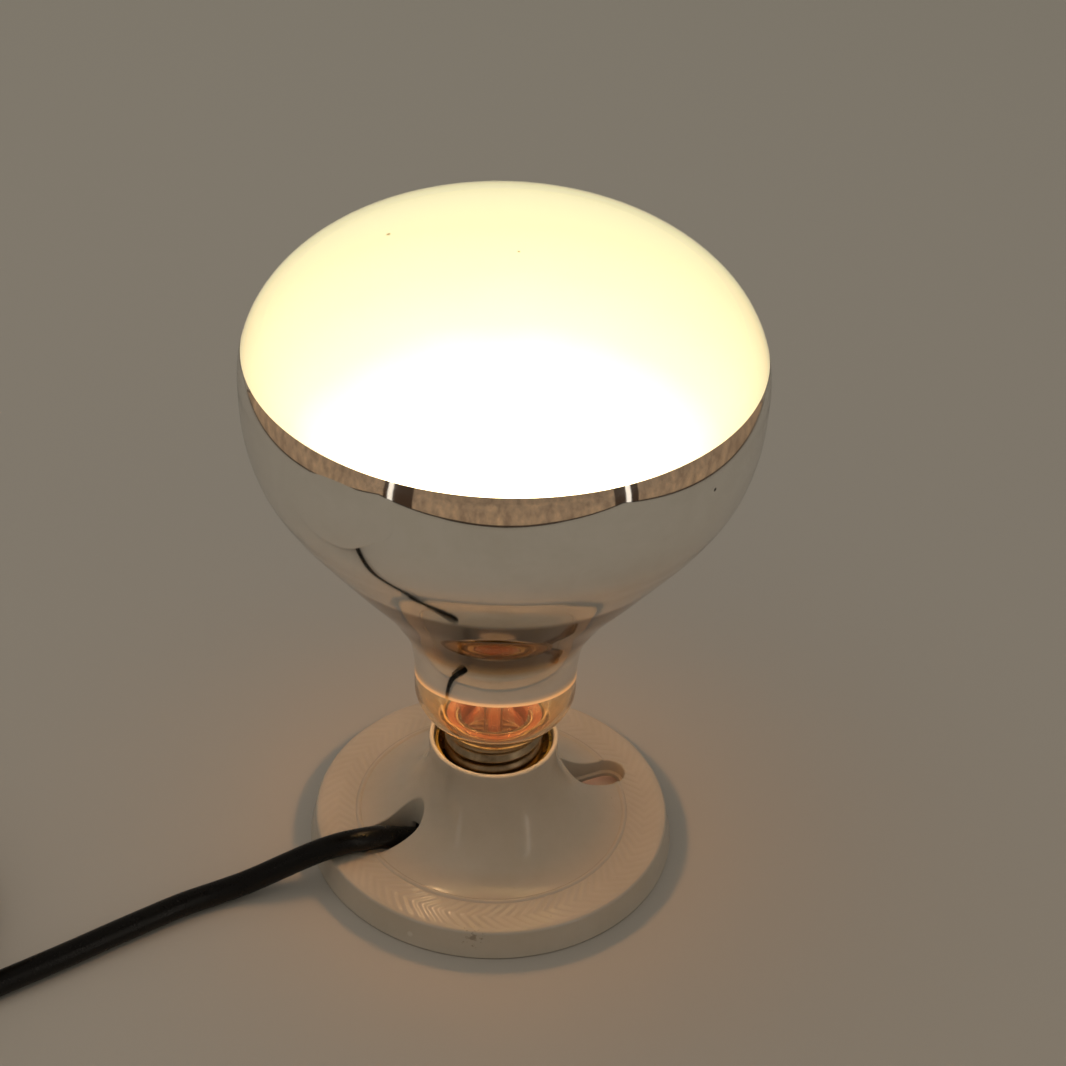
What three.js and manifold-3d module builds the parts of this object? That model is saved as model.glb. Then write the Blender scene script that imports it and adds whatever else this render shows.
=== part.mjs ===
// Infrared heat lamp: a mirrored reflector bulb in a round surface lampholder, with its mains lead.
// The lamp stands on z = 0 with its axis on Z. X runs through the holder's two fixing slots,
// and the lead comes out of the slot on the -X side.
import * as THREE from "three";
import { mergeVertices } from "three/addons/utils/BufferGeometryUtils.js";
import Module from "manifold-3d";

const wasm = await Module();
wasm.setup();

// Driving dimensions, in millimetres
const seatGap = 0.3; // between pieces that rest on each other
const past = 1; // how far a cutting tool runs past the face it cuts

// Holder moulding
const footRadius = 49;
const flangeRadius = 47.5;
const flangeHeight = 7.9;
const flangeEdge = 0.9;
const footLand = 3.5;
const holderHeight = 34;
const collarHeight = 4;
const collarWall = 1.3;
const flareReach = 36;
const mouldWall = 2.6;
const rimWall = 2; // of the flange's edge, at its top
const wiringRoom = 7.2; // under the well's floor
const wellClearance = 0.4; // round the shell's flared rim
const beadWidth = 1.2;
const beadHeight = 0.5;

// Fixing slots, one each side of the axis
const slotStandoff = 1.9; // from the well's wall
const slotLength = 19.5;
const slotWidth = 9.6;
const slotLedge = 0.9;
const slotLipFoot = 2.6;
const slotLip = 1.4;
const slotWall = 2.2;

// Socket metalwork
const threadPitch = 3.629;
const threadDepth = 1;
const threadClearance = 0.45;
const shellSheet = 0.7;
const shellTopDrop = 2; // from the collar's rim
const shellFlare = 1.2;
const shellLip = 3.3;
const leafSheet = 0.4;
const leafWidth = 5.2;
const leafRise = 3.6;
const leafReach = 3.5; // past the axis
const leafPivot = 5.75; // from the axis to the bend line
const leafPad = 3.1;
const rivetRadius = 0.9;
const rivetHeadRadius = 1.4;
const rivetHead = 0.6;
const rivetFootRadius = 1.8;

// Terminals under the well floor
const terminalX = 9;
const terminalY = 9;
const terminalWidth = 7;
const terminalSheet = 0.6;
const terminalShank = 1.2;
const terminalThreadDepth = 1.8; // of the screw in the floor
const terminalHeadRadius = 3;
const terminalHead = 1.6;
const driverSlot = 0.8;

// Bulb cap
const capLength = 27;
const capThreadRadius = 12.55; // at mid depth
const capSheet = 0.55;
const capRimStep = 1.35; // beyond the thread's mid depth
const capRim = 0.6;
const capBare = 4.3; // from the tip to the shell's lower edge
const tipRadius = 4.8;
const tipFlat = 3.4; // radius of its flat foot
const tipHeight = 1.2;
const insulatorFoot = 5.8;
const insulatorSkirt = 1.8;
const wireHole = 1.2;
const cementHeight = 6.5;
const cementWall = 1.9;
const dabSize = [1.6, 0.7, 0.9]; // half sizes of the solder dab on the rim

// Bulb glass
const bulbRadius = 62.7;
const glassLength = 142.6; // above the cap's rim
const glassWall = 1;
const jointStep = 0.4; // inside the cap's rim
const neckRadius = 21.05;
const bowlHeight = 10.7;
const bowlFullness = 0.55; // share of the bowl's height that steers its curve
const neckLength = 5;
const widestAbove = 106.2; // above the cap's rim
const crownSquareness = 2.144;
const mirrorLineAbove = 6.8; // above the widest ring
const mirrorFootAbove = 16.3; // above the cap's rim
const coatThickness = 0.4;
const tailLength = 7;

// Mount inside the bulb
const stemRadius = 4.2;
const stemWall = 1;
const stemTopAbove = 26; // above the cap's rim
const stemSkirt = 3; // straight foot of its flare
const stemShoulderAbove = 2; // above the cap's rim, with the taper nearly done
const stemShoulderStep = 1; // wider there than the stem
const stemWaistAbove = 8; // above the cap's rim, where the taper ends
const exhaustDrop = 3; // below the stem's flare
const pressHeight = 8;
const pressWidth = 11;
const pressDepth = 4;
const exhaustRadius = 1.6;
const wireRadius = 0.3;
const wireSpread = 2.4;
const wireStraightAbove = 10; // above the cap's rim, where the leads stand side by side
const wireBendDrop = 14; // below the filament, where they spread
const filamentRing = 9.5;
const filamentRadius = 0.8;
const filamentAbove = 63; // above the cap's rim
const rodRadius = 1.4;
const rodLength = 18;
const rodButton = 2.4;
const supportRadius = 0.25;
const supportDrop = 5; // below its hook, at the bend

// Mains lead
const cordDiameter = 6.3;
const cordBend = 25.2; // least bend radius of the centre line
const cordRest = 0.1; // clear of the table
const cordTopX = 43.5; // where it passes over the flange
const cordTopClear = 0.65; // over the flange
const cordCutX = 24.7; // where the inner length ends and the free run starts
const cordStart = 1.5; // straight start of the free run
const coreRadius = 1.3;
const coreSpread = 1.45;
const coreEndX = 2; // where its insulation is stripped
const strandRadius = 0.6;
const bareLead = 3; // from there to where the strands run level
const notchClearance = 0.45;

// Coil, tie and plug
const coilTurns = 7.03;
const coilOuter = 48.3;
const turnGap = 0.7;
const turnEase = 0.12; // turns over which the spiral eases from inwards to outwards
const settleTurns = 1 / 3; // of the first turn, in which the lead rises onto the tie
const tailLevel = 14; // beyond the last turn, before it goes down
const coilTail = 46;
const tieSheet = 0.8;
const tieWidth = 9;
const tieTurn = 0.4; // turns past the entry
const plugLength = 35;
const plugWidth = 26;
const plugThickness = 13.6;
const plugNose = 15;
const plugEdge = 1.5; // rounding of its edges
const pinRadius = 2;
const pinLength = 19;
const pinPitch = 18.6;
const reliefLength = 22;
const reliefRadius = 5.2;
const reliefStep = 0.6; // beyond the lead's sheath, and of the body beyond the relief

// Sizes that follow from them
const shellThreadRadius = capThreadRadius + threadClearance;
const shellRadius = shellThreadRadius + threadDepth / 2 + shellSheet;
const shellRivetY = shellRadius - shellSheet - shellLip / 2;
const contactRivetX = leafPivot + (seatGap + leafPad) / 2;
const wellRadius = shellRadius + shellFlare + wellClearance;
const collarRadius = wellRadius + collarWall;
const floorUnder = wiringRoom;
const wellFloor = floorUnder + mouldWall;
const wellWallRadius = wellRadius + mouldWall;
const flareTop = holderHeight - collarHeight;
const slotInner = wellWallRadius + slotStandoff;
const slotOuter = slotInner + slotLength;
const lipTop = slotLipFoot + slotLip;
const shellFoot = wellFloor + seatGap;
const shellTop = holderHeight - shellTopDrop;
const leafFoot = wellFloor + seatGap;
const tipFoot = wellFloor + leafRise + seatGap;
const capRimTop = tipFoot + capLength;
const capFoot = tipFoot + capBare;
const capInner = capThreadRadius - threadDepth / 2 - capSheet;
const capRimRadius = capThreadRadius + capRimStep;
const jointRadius = capRimRadius - jointStep;
const tailRadius = capInner - cementWall;
const plateTop = floorUnder - seatGap;
const plateFoot = plateTop - terminalSheet;
const strandZ = plateFoot - seatGap - strandRadius;
const headTop = strandZ - strandRadius - seatGap;
const glassFoot = capRimTop + seatGap;
const bowlTop = glassFoot + bowlHeight;
const neckTop = bowlTop + neckLength;
const widest = capRimTop + widestAbove;
const crownTop = capRimTop + glassLength;
const mirrorLine = widest + mirrorLineAbove;
const mirrorFoot = capRimTop + mirrorFootAbove;
const tailFoot = capRimTop - tailLength;
const stemTop = capRimTop + stemTopAbove;
const filamentZ = capRimTop + filamentAbove;
const cordRadius = cordDiameter / 2;
const cordZ = cordRadius + cordRest;
const clearHole = (radius) => radius + seatGap;

const finishes = {
  whiteMoulding: { color: 0xece6da, roughness: 0.28, metalness: 0 },
  brass: { color: 0xc9a24b, roughness: 0.35, metalness: 1 },
  nickel: { color: 0xc4c2bd, roughness: 0.3, metalness: 1 },
  steel: { color: 0x9b9a96, roughness: 0.4, metalness: 1 },
  solder: { color: 0xa9a9a6, roughness: 0.5, metalness: 1 },
  clearGlass: { color: 0xf3e6cf, roughness: 0.05, metalness: 0, transparent: true, opacity: 0.35 },
  mirror: { color: 0xd9d4cb, roughness: 0.06, metalness: 1 },
  frost: { color: 0xfff6dc, roughness: 0.6, metalness: 0, emissive: 0xfff0c8 },
  blackGlass: { color: 0x15120f, roughness: 0.15, metalness: 0 },
  cement: { color: 0xb9ab90, roughness: 0.9, metalness: 0 },
  tungsten: { color: 0xffc98a, roughness: 0.6, metalness: 1, emissive: 0xff9c40 },
  copper: { color: 0xb8704a, roughness: 0.4, metalness: 1 },
  blackSheath: { color: 0x141312, roughness: 0.42, metalness: 0 },
  brownSheath: { color: 0x5a3320, roughness: 0.45, metalness: 0 },
  blueSheath: { color: 0x2d5f9e, roughness: 0.45, metalness: 0 },
};

const lamp = new THREE.Group();

function solidFrom(geometry) {
  geometry.deleteAttribute("normal");
  geometry.deleteAttribute("uv");
  const merged = mergeVertices(geometry, 1e-4);
  const made = new wasm.Mesh({
    numProp: 3,
    vertProperties: merged.attributes.position.array,
    triVerts: new Uint32Array(merged.index.array),
  });
  return new wasm.Manifold(made);
}

function addNode(name, solid, finish) {
  const mesh = solid.getMesh();
  const geometry = new THREE.BufferGeometry();
  geometry.setAttribute("position", new THREE.BufferAttribute(mesh.vertProperties, 3));
  geometry.setIndex(new THREE.BufferAttribute(mesh.triVerts, 1));
  geometry.computeVertexNormals();
  const node = new THREE.Mesh(geometry, new THREE.MeshStandardMaterial(finishes[finish]));
  node.name = name;
  lamp.add(node);
}

// A solid of revolution about Z from a closed outline of [radius, height] points
function turned(outline, sides = 32) {
  const area = outline.reduce((sum, [r, z], i) => {
    const [nextR, nextZ] = outline[(i + 1) % outline.length];
    return sum + r * nextZ - nextR * z;
  }, 0);
  const points = outline.map(([r, z]) => new THREE.Vector2(r, z));
  if (area < 0) points.reverse();
  const startsOnAxis = points[0].x === 0 && points.at(-1).x === 0;
  if (!startsOnAxis) points.push(points[0].clone());
  return solidFrom(new THREE.LatheGeometry(points, sides).rotateX(Math.PI / 2));
}

function disc(radius, low, high, x = 0, y = 0, sides = 16) {
  const geometry = new THREE.CylinderGeometry(radius, radius, high - low, sides);
  return solidFrom(geometry.rotateX(Math.PI / 2).translate(x, y, (low + high) / 2));
}

function block(xs, ys, zs) {
  const geometry = new THREE.BoxGeometry(xs[1] - xs[0], ys[1] - ys[0], zs[1] - zs[0]);
  const middle = [xs, ys, zs].map(([low, high]) => (low + high) / 2);
  return solidFrom(geometry.translate(...middle));
}

function prism(shape, low, high, curveSegments = 8) {
  const options = { depth: high - low, bevelEnabled: false, curveSegments };
  return solidFrom(new THREE.ExtrudeGeometry(shape, options).translate(0, 0, low));
}

// A straight bar with round ends, from one centre point to another
function barShape(from, to, width) {
  const start = new THREE.Vector2(...from);
  const end = new THREE.Vector2(...to);
  const angle = Math.atan2(end.y - start.y, end.x - start.x);
  const shape = new THREE.Shape();
  shape.absarc(end.x, end.y, width / 2, angle - Math.PI / 2, angle + Math.PI / 2);
  shape.absarc(start.x, start.y, width / 2, angle + Math.PI / 2, angle + Math.PI * 1.5);
  shape.closePath();
  return shape;
}

function roundShape(radius, sides) {
  const corners = Array.from({ length: sides }, (_, i) => {
    const angle = (i / sides) * Math.PI * 2;
    return new THREE.Vector2(radius * Math.cos(angle), radius * Math.sin(angle));
  });
  return new THREE.Shape(corners);
}

function tube(points, radius, { sides = 6, steps = 12 } = {}) {
  const path = new THREE.CatmullRomCurve3(points.map((point) => new THREE.Vector3(...point)));
  const options = { extrudePath: path, steps, curveSegments: sides };
  return solidFrom(new THREE.ExtrudeGeometry(roundShape(radius, sides), options));
}

// A sleeve whose outline changes round the axis: outlineAt(angle) always gives as many points
function sleeve(outlineAt, columns) {
  const rings = Array.from({ length: columns }, (_, i) => outlineAt((i / columns) * Math.PI * 2));
  const rows = rings[0].length;
  const positions = [];
  rings.forEach((ring, i) => {
    const angle = (i / columns) * Math.PI * 2;
    ring.forEach(([r, z]) => positions.push(r * Math.cos(angle), r * Math.sin(angle), z));
  });
  const index = [];
  for (let i = 0; i < columns; i += 1) {
    for (let j = 0; j < rows; j += 1) {
      const a = i * rows + j;
      const b = ((i + 1) % columns) * rows + j;
      const c = ((i + 1) % columns) * rows + ((j + 1) % rows);
      const d = i * rows + ((j + 1) % rows);
      index.push(a, b, c, a, c, d);
    }
  }
  const geometry = new THREE.BufferGeometry();
  geometry.setAttribute("position", new THREE.Float32BufferAttribute(positions, 3));
  geometry.setIndex(index);
  return solidFrom(geometry);
}

const steps = (count, value) => Array.from({ length: count + 1 }, (_, i) => value(i / count));
const smooth = (t) => THREE.MathUtils.smoothstep(t, 0, 1);

// Holder: a moulded flange with a concave flare up to a thin collar, hollow underneath
function flareLine(offset, fromRadius, toRadius, count) {
  const across = flareReach - collarRadius + offset;
  const up = flareTop - flangeHeight + offset;
  return steps(count, (t) => {
    const r = THREE.MathUtils.lerp(fromRadius, toRadius, t);
    const share = Math.min((flareReach - r) / across, 1);
    return [r, flareTop - up * Math.sqrt(1 - share * share)];
  });
}

function flareByAngle(count) {
  return steps(count, (t) => {
    const angle = (t * Math.PI) / 2;
    const r = flareReach - (flareReach - collarRadius) * Math.sin(angle);
    return [r, flareTop - (flareTop - flangeHeight) * Math.cos(angle)];
  });
}

function slotShape(side, inset) {
  const half = slotWidth / 2;
  const from = [side * (slotInner + half), 0];
  const to = [side * (slotOuter - half), 0];
  return barShape(from, to, slotWidth - 2 * inset);
}

function buildHolder() {
  const rim = collarWall / 3;
  const outside = [
    [0, 0],
    [footRadius, 0],
    [flangeRadius, flangeHeight - flangeEdge],
    [flangeRadius - flangeEdge * 0.3, flangeHeight - flangeEdge * 0.3],
    [flangeRadius - flangeEdge, flangeHeight],
    [flareReach + beadWidth / 2, flangeHeight],
    [flareReach, flangeHeight + beadHeight],
    [flareReach - beadWidth / 2, flangeHeight + beadHeight / 2],
    ...flareByAngle(7).slice(1),
    [collarRadius, holderHeight - rim],
    [collarRadius - rim, holderHeight],
    [wellRadius + rim, holderHeight],
    [wellRadius, holderHeight - rim],
    [wellRadius, wellFloor],
    [0, wellFloor],
  ];
  const flangeUnder = flangeHeight - mouldWall;
  const landRadius = footRadius - footLand;
  const hollow = [
    [0, -past],
    [landRadius, -past],
    [flangeRadius - rimWall, flangeUnder],
    ...flareLine(mouldWall, flareReach, wellWallRadius, 4),
    [wellWallRadius, floorUnder],
    [0, floorUnder],
  ];
  const full = turned(outside, 36);
  let body = full.subtract(turned(hollow, 36));
  for (const side of [-1, 1]) {
    const boss = prism(slotShape(side, -slotWall), slotLipFoot, flareTop);
    body = body.add(boss.intersect(full));
  }
  for (const side of [-1, 1]) {
    body = body.subtract(prism(slotShape(side, 0), lipTop, holderHeight));
    body = body.subtract(prism(slotShape(side, slotLedge), -past, lipTop + past));
  }
  const notchHalf = cordRadius + notchClearance;
  const notch = block([-slotInner - notchHalf, -wellRadius], [-notchHalf, notchHalf], [-past, floorUnder]);
  body = body.subtract(notch);
  const rivetHole = clearHole(rivetRadius);
  const rivetPlaces = [[contactRivetX, 0], [0, shellRivetY], [0, -shellRivetY]];
  for (const [x, y] of rivetPlaces) {
    body = body.subtract(disc(rivetHole, floorUnder - past, wellFloor + past, x, y, 12));
  }
  const screwBore = floorUnder + terminalThreadDepth + seatGap;
  for (const y of [-terminalY, terminalY]) {
    body = body.subtract(disc(clearHole(terminalShank), floorUnder - past, screwBore, terminalX, y, 12));
  }
  addNode("holder_body", body, "whiteMoulding");
}

// Rounded screw thread: the same wave on the cap and in the shell, so they stay in mesh
function threadRadius(middle, z, angle) {
  return middle + (threadDepth / 2) * Math.cos((z / threadPitch) * Math.PI * 2 - angle);
}

function threadRows(low, high, middle, angle, { lowEnd, highEnd }) {
  const count = Math.round((high - low) / (threadPitch / 5));
  const fade = threadPitch / 2;
  return steps(count, (t) => {
    const z = THREE.MathUtils.lerp(low, high, t);
    const wave = threadRadius(middle, z, angle);
    const near = (z - low) / fade;
    const far = (high - z) / fade;
    const fromLow = THREE.MathUtils.lerp(lowEnd, wave, Math.min(near, 1));
    return [THREE.MathUtils.lerp(highEnd, fromLow, Math.min(far, 1)), z];
  });
}

function buildScrewShell() {
  const lipTopZ = shellFoot + shellSheet;
  const bore = shellThreadRadius + threadDepth / 2;
  const mouth = shellTop - shellFlare;
  const outlineAt = (angle) => [
    [shellRadius - shellLip - shellSheet, shellFoot],
    [shellRadius, shellFoot],
    [shellRadius, mouth - shellFlare],
    [shellRadius + shellFlare, mouth],
    [shellRadius + shellFlare, shellTop],
    [shellRadius + shellFlare - shellSheet, shellTop],
    ...threadRows(lipTopZ + shellSheet, mouth - shellFlare, shellThreadRadius, angle, {
      lowEnd: bore,
      highEnd: bore,
    }).reverse(),
    [bore, lipTopZ],
    [shellRadius - shellLip - shellSheet, lipTopZ],
  ];
  let shell = sleeve(outlineAt, 20);
  for (const y of [-shellRivetY, shellRivetY]) {
    shell = shell.subtract(disc(clearHole(rivetRadius), shellFoot - past, lipTopZ + past, 0, y, 12));
  }
  addNode("screw_shell", shell, "brass");
}

function rivet(x, y, stackTop, stackFoot) {
  const headFoot = stackTop + seatGap;
  const footTop = stackFoot - seatGap;
  const head = disc(rivetHeadRadius, headFoot, headFoot + rivetHead, x, y, 12);
  const shank = disc(rivetRadius, footTop - rivetHead / 2, headFoot + rivetHead / 2, x, y, 12);
  const foot = disc(rivetFootRadius, footTop - rivetHead, footTop, x, y, 12);
  return head.add(shank).add(foot);
}

function buildCentreContact() {
  const padTop = leafFoot + leafSheet;
  const padEdge = leafPivot + seatGap / 2;
  const halfWidth = leafWidth / 2;
  const pad = block([padEdge, padEdge + leafPad], [-halfWidth, halfWidth], [leafFoot, padTop]);
  const padHole = disc(clearHole(rivetRadius), leafFoot - past, padTop + past, contactRivetX, 0, 12);
  addNode("contact_base", pad.subtract(padHole), "brass");

  const leafTop = wellFloor + leafRise;
  const root = leafPivot - seatGap / 2;
  const droop = leafRise / 8;
  const side = new THREE.Shape([
    new THREE.Vector2(root, leafFoot),
    new THREE.Vector2(root, padTop),
    new THREE.Vector2(leafSheet, leafTop),
    new THREE.Vector2(-leafReach / 2, leafTop),
    new THREE.Vector2(-leafReach, leafTop - droop),
    new THREE.Vector2(-leafReach, leafTop - droop - leafSheet),
    new THREE.Vector2(-leafReach / 2, leafTop - leafSheet),
    new THREE.Vector2(leafSheet, leafTop - leafSheet),
  ]);
  const geometry = new THREE.ExtrudeGeometry(side, { depth: leafWidth, bevelEnabled: false });
  geometry.rotateX(Math.PI / 2).translate(0, halfWidth, 0);
  addNode("contact_tongue", solidFrom(geometry), "brass");
  addNode("contact_rivet", rivet(contactRivetX, 0, padTop, plateFoot), "brass");
}

function terminalPlate(rivetPlace, side) {
  const shape = barShape(rivetPlace, [terminalX, side * terminalY], terminalWidth);
  const rivetHole = disc(clearHole(rivetRadius), plateFoot - past, plateTop + past, ...rivetPlace, 12);
  const screwHole = disc(
    clearHole(terminalShank), plateFoot - past, plateTop + past, terminalX, side * terminalY, 12,
  );
  return prism(shape, plateFoot, plateTop, 5).subtract(rivetHole).subtract(screwHole);
}

function terminalScrew(side) {
  const y = side * terminalY;
  const headFoot = headTop - terminalHead;
  const head = disc(terminalHeadRadius, headFoot, headTop, terminalX, y, 14);
  const shank = disc(terminalShank, headTop - past / 2, floorUnder + terminalThreadDepth, terminalX, y, 12);
  const across = [terminalX - terminalHeadRadius - past, terminalX + terminalHeadRadius + past];
  const slotSides = [y - driverSlot / 2, y + driverSlot / 2];
  const slot = block(across, slotSides, [headFoot - past, headFoot + driverSlot]);
  return head.add(shank).subtract(slot);
}

function buildTerminals() {
  const lipTopZ = shellFoot + shellSheet;
  addNode("shell_rivet_front", rivet(0, -shellRivetY, lipTopZ, plateFoot), "brass");
  addNode("shell_rivet_back", rivet(0, shellRivetY, lipTopZ, floorUnder), "brass");
  addNode("live_terminal_plate", terminalPlate([contactRivetX, 0], 1), "brass");
  addNode("neutral_terminal_plate", terminalPlate([0, -shellRivetY], -1), "brass");
  addNode("live_terminal_screw", terminalScrew(1), "steel");
  addNode("neutral_terminal_screw", terminalScrew(-1), "steel");
}

// Bulb: outline of the glass from the joint with the cap up to the middle of the crown
function bulbOutline() {
  const bowl = new THREE.QuadraticBezierCurve(
    new THREE.Vector2(jointRadius, glassFoot),
    new THREE.Vector2(neckRadius, glassFoot + bowlHeight * bowlFullness),
    new THREE.Vector2(neckRadius, bowlTop),
  );
  // Shares of the way from the neck to the widest ring: across, then up
  const reflectorShape = [
    [0, 0], [0.036, 0.133], [0.209, 0.289], [0.514, 0.478], [0.843, 0.69], [0.938, 0.779], [0.988, 0.88],
    [1, 1],
  ];
  const reflector = new THREE.SplineCurve(
    reflectorShape.map(([across, up]) => new THREE.Vector2(
      THREE.MathUtils.lerp(neckRadius, bulbRadius, across),
      THREE.MathUtils.lerp(neckTop, widest, up),
    )),
  );
  const power = 2 / crownSquareness;
  const crown = steps(6, (t) => {
    const angle = (t * Math.PI) / 2;
    const r = t === 1 ? 0 : bulbRadius * Math.cos(angle) ** power;
    return [r, widest + (crownTop - widest) * Math.sin(angle) ** power];
  });
  return [
    ...bowl.getPoints(3).map((point) => [point.x, point.y]),
    ...reflector.getPoints(9).map((point) => [point.x, point.y]),
    ...crown.slice(1),
  ];
}

// The same outline moved inwards by a distance, square to itself
function insetOutline(outline, distance) {
  return outline.map(([r, z], i) => {
    if (r === 0) return [0, z - distance];
    const [lowR, lowZ] = outline[Math.max(i - 1, 0)];
    const [highR, highZ] = outline[Math.min(i + 1, outline.length - 1)];
    const length = Math.hypot(highR - lowR, highZ - lowZ);
    return [r - ((highZ - lowZ) / length) * distance, z + ((highR - lowR) / length) * distance];
  });
}

// The stretch of an outline between two heights, with both ends cut square
function cutOutline(outline, low, high) {
  const at = (z) => {
    const i = outline.findIndex((point, k) => k > 0 && point[1] >= z);
    const [lowR, lowZ] = outline[i - 1];
    const [highR, highZ] = outline[i];
    return [THREE.MathUtils.mapLinear(z, lowZ, highZ, lowR, highR), z];
  };
  const inside = outline.filter(([, z]) => z > low + coatThickness && z < high - coatThickness);
  const ends = high < outline.at(-1)[1] ? [at(high)] : [outline.at(-1)];
  return [at(low), ...inside, ...ends];
}

function buildBulbGlass() {
  const outer = bulbOutline();
  const inner = insetOutline(outer, glassWall);
  const tailTop = glassFoot + glassWall;
  const outside = [[0, tailFoot], [tailRadius, tailFoot], [tailRadius, glassFoot], ...outer];
  const tailInner = tailRadius - glassWall;
  const inside = [
    [0, tailFoot - past],
    [tailInner, tailFoot - past],
    [tailInner, tailTop],
    ...inner.filter(([r, z]) => r === 0 || z > tailTop),
  ];
  addNode("bulb_glass", turned(outside).subtract(turned(inside)), "clearGlass");

  const skinOuter = insetOutline(outer, glassWall + seatGap);
  const skinInner = insetOutline(outer, glassWall + seatGap + coatThickness);
  const mirrorBand = [
    ...cutOutline(skinOuter, mirrorFoot, mirrorLine),
    ...cutOutline(skinInner, mirrorFoot, mirrorLine).reverse(),
  ];
  addNode("mirror_coating", turned(mirrorBand), "mirror");
  const frostFoot = mirrorLine + seatGap;
  const frostOuter = cutOutline(skinOuter, frostFoot, crownTop);
  const frostInner = cutOutline(skinInner, frostFoot, crownTop);
  const frost = turned([[0, frostFoot], ...frostOuter]).subtract(
    turned([[0, frostFoot - past], [frostInner[0][0], frostFoot - past], ...frostInner]),
  );
  addNode("frost_coating", frost, "frost");
}

function buildCap() {
  const crestGone = capThreadRadius - threadDepth / 2;
  const shellHigh = capRimTop - capRim * 2;
  const outlineAt = (angle) => [
    ...threadRows(capFoot, shellHigh, capThreadRadius, angle, { lowEnd: crestGone, highEnd: crestGone }),
    [capRimRadius, capRimTop - capRim],
    [capRimRadius, capRimTop],
    [capRimRadius - capSheet, capRimTop],
    [capInner, shellHigh - capRim],
    [capInner, capFoot],
  ];
  addNode("cap_shell", sleeve(outlineAt, 20), "nickel");

  const insulatorRadius = capInner - seatGap;
  const insulator = turned([
    [wireHole, tipFoot + tipHeight + seatGap],
    [insulatorFoot, tipFoot + tipHeight + seatGap],
    [insulatorRadius, capFoot - seatGap],
    [insulatorRadius, capFoot + insulatorSkirt],
    [wireHole, capFoot + insulatorSkirt],
  ], 24);
  addNode("cap_insulator", insulator, "blackGlass");

  const tip = turned([
    [0, tipFoot],
    [tipFlat, tipFoot],
    [tipRadius, tipFoot + tipHeight / 2],
    [tipRadius, tipFoot + tipHeight],
    [0, tipFoot + tipHeight],
  ], 20);
  addNode("cap_contact", tip, "solder");

  const cementTop = shellHigh - capRim - seatGap;
  const cement = turned([
    [tailRadius + seatGap, cementTop - cementHeight],
    [capInner - seatGap, cementTop - cementHeight],
    [capInner - seatGap, cementTop],
    [tailRadius + seatGap, cementTop],
  ], 24);
  addNode("cap_cement", cement, "cement");

  const dab = new THREE.SphereGeometry(1, 8, 6).scale(...dabSize);
  const dabY = capRimRadius + dabSize[1] + seatGap;
  addNode("side_solder", solidFrom(dab.translate(0, dabY, capRimTop - capRim)), "solder");
}

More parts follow.
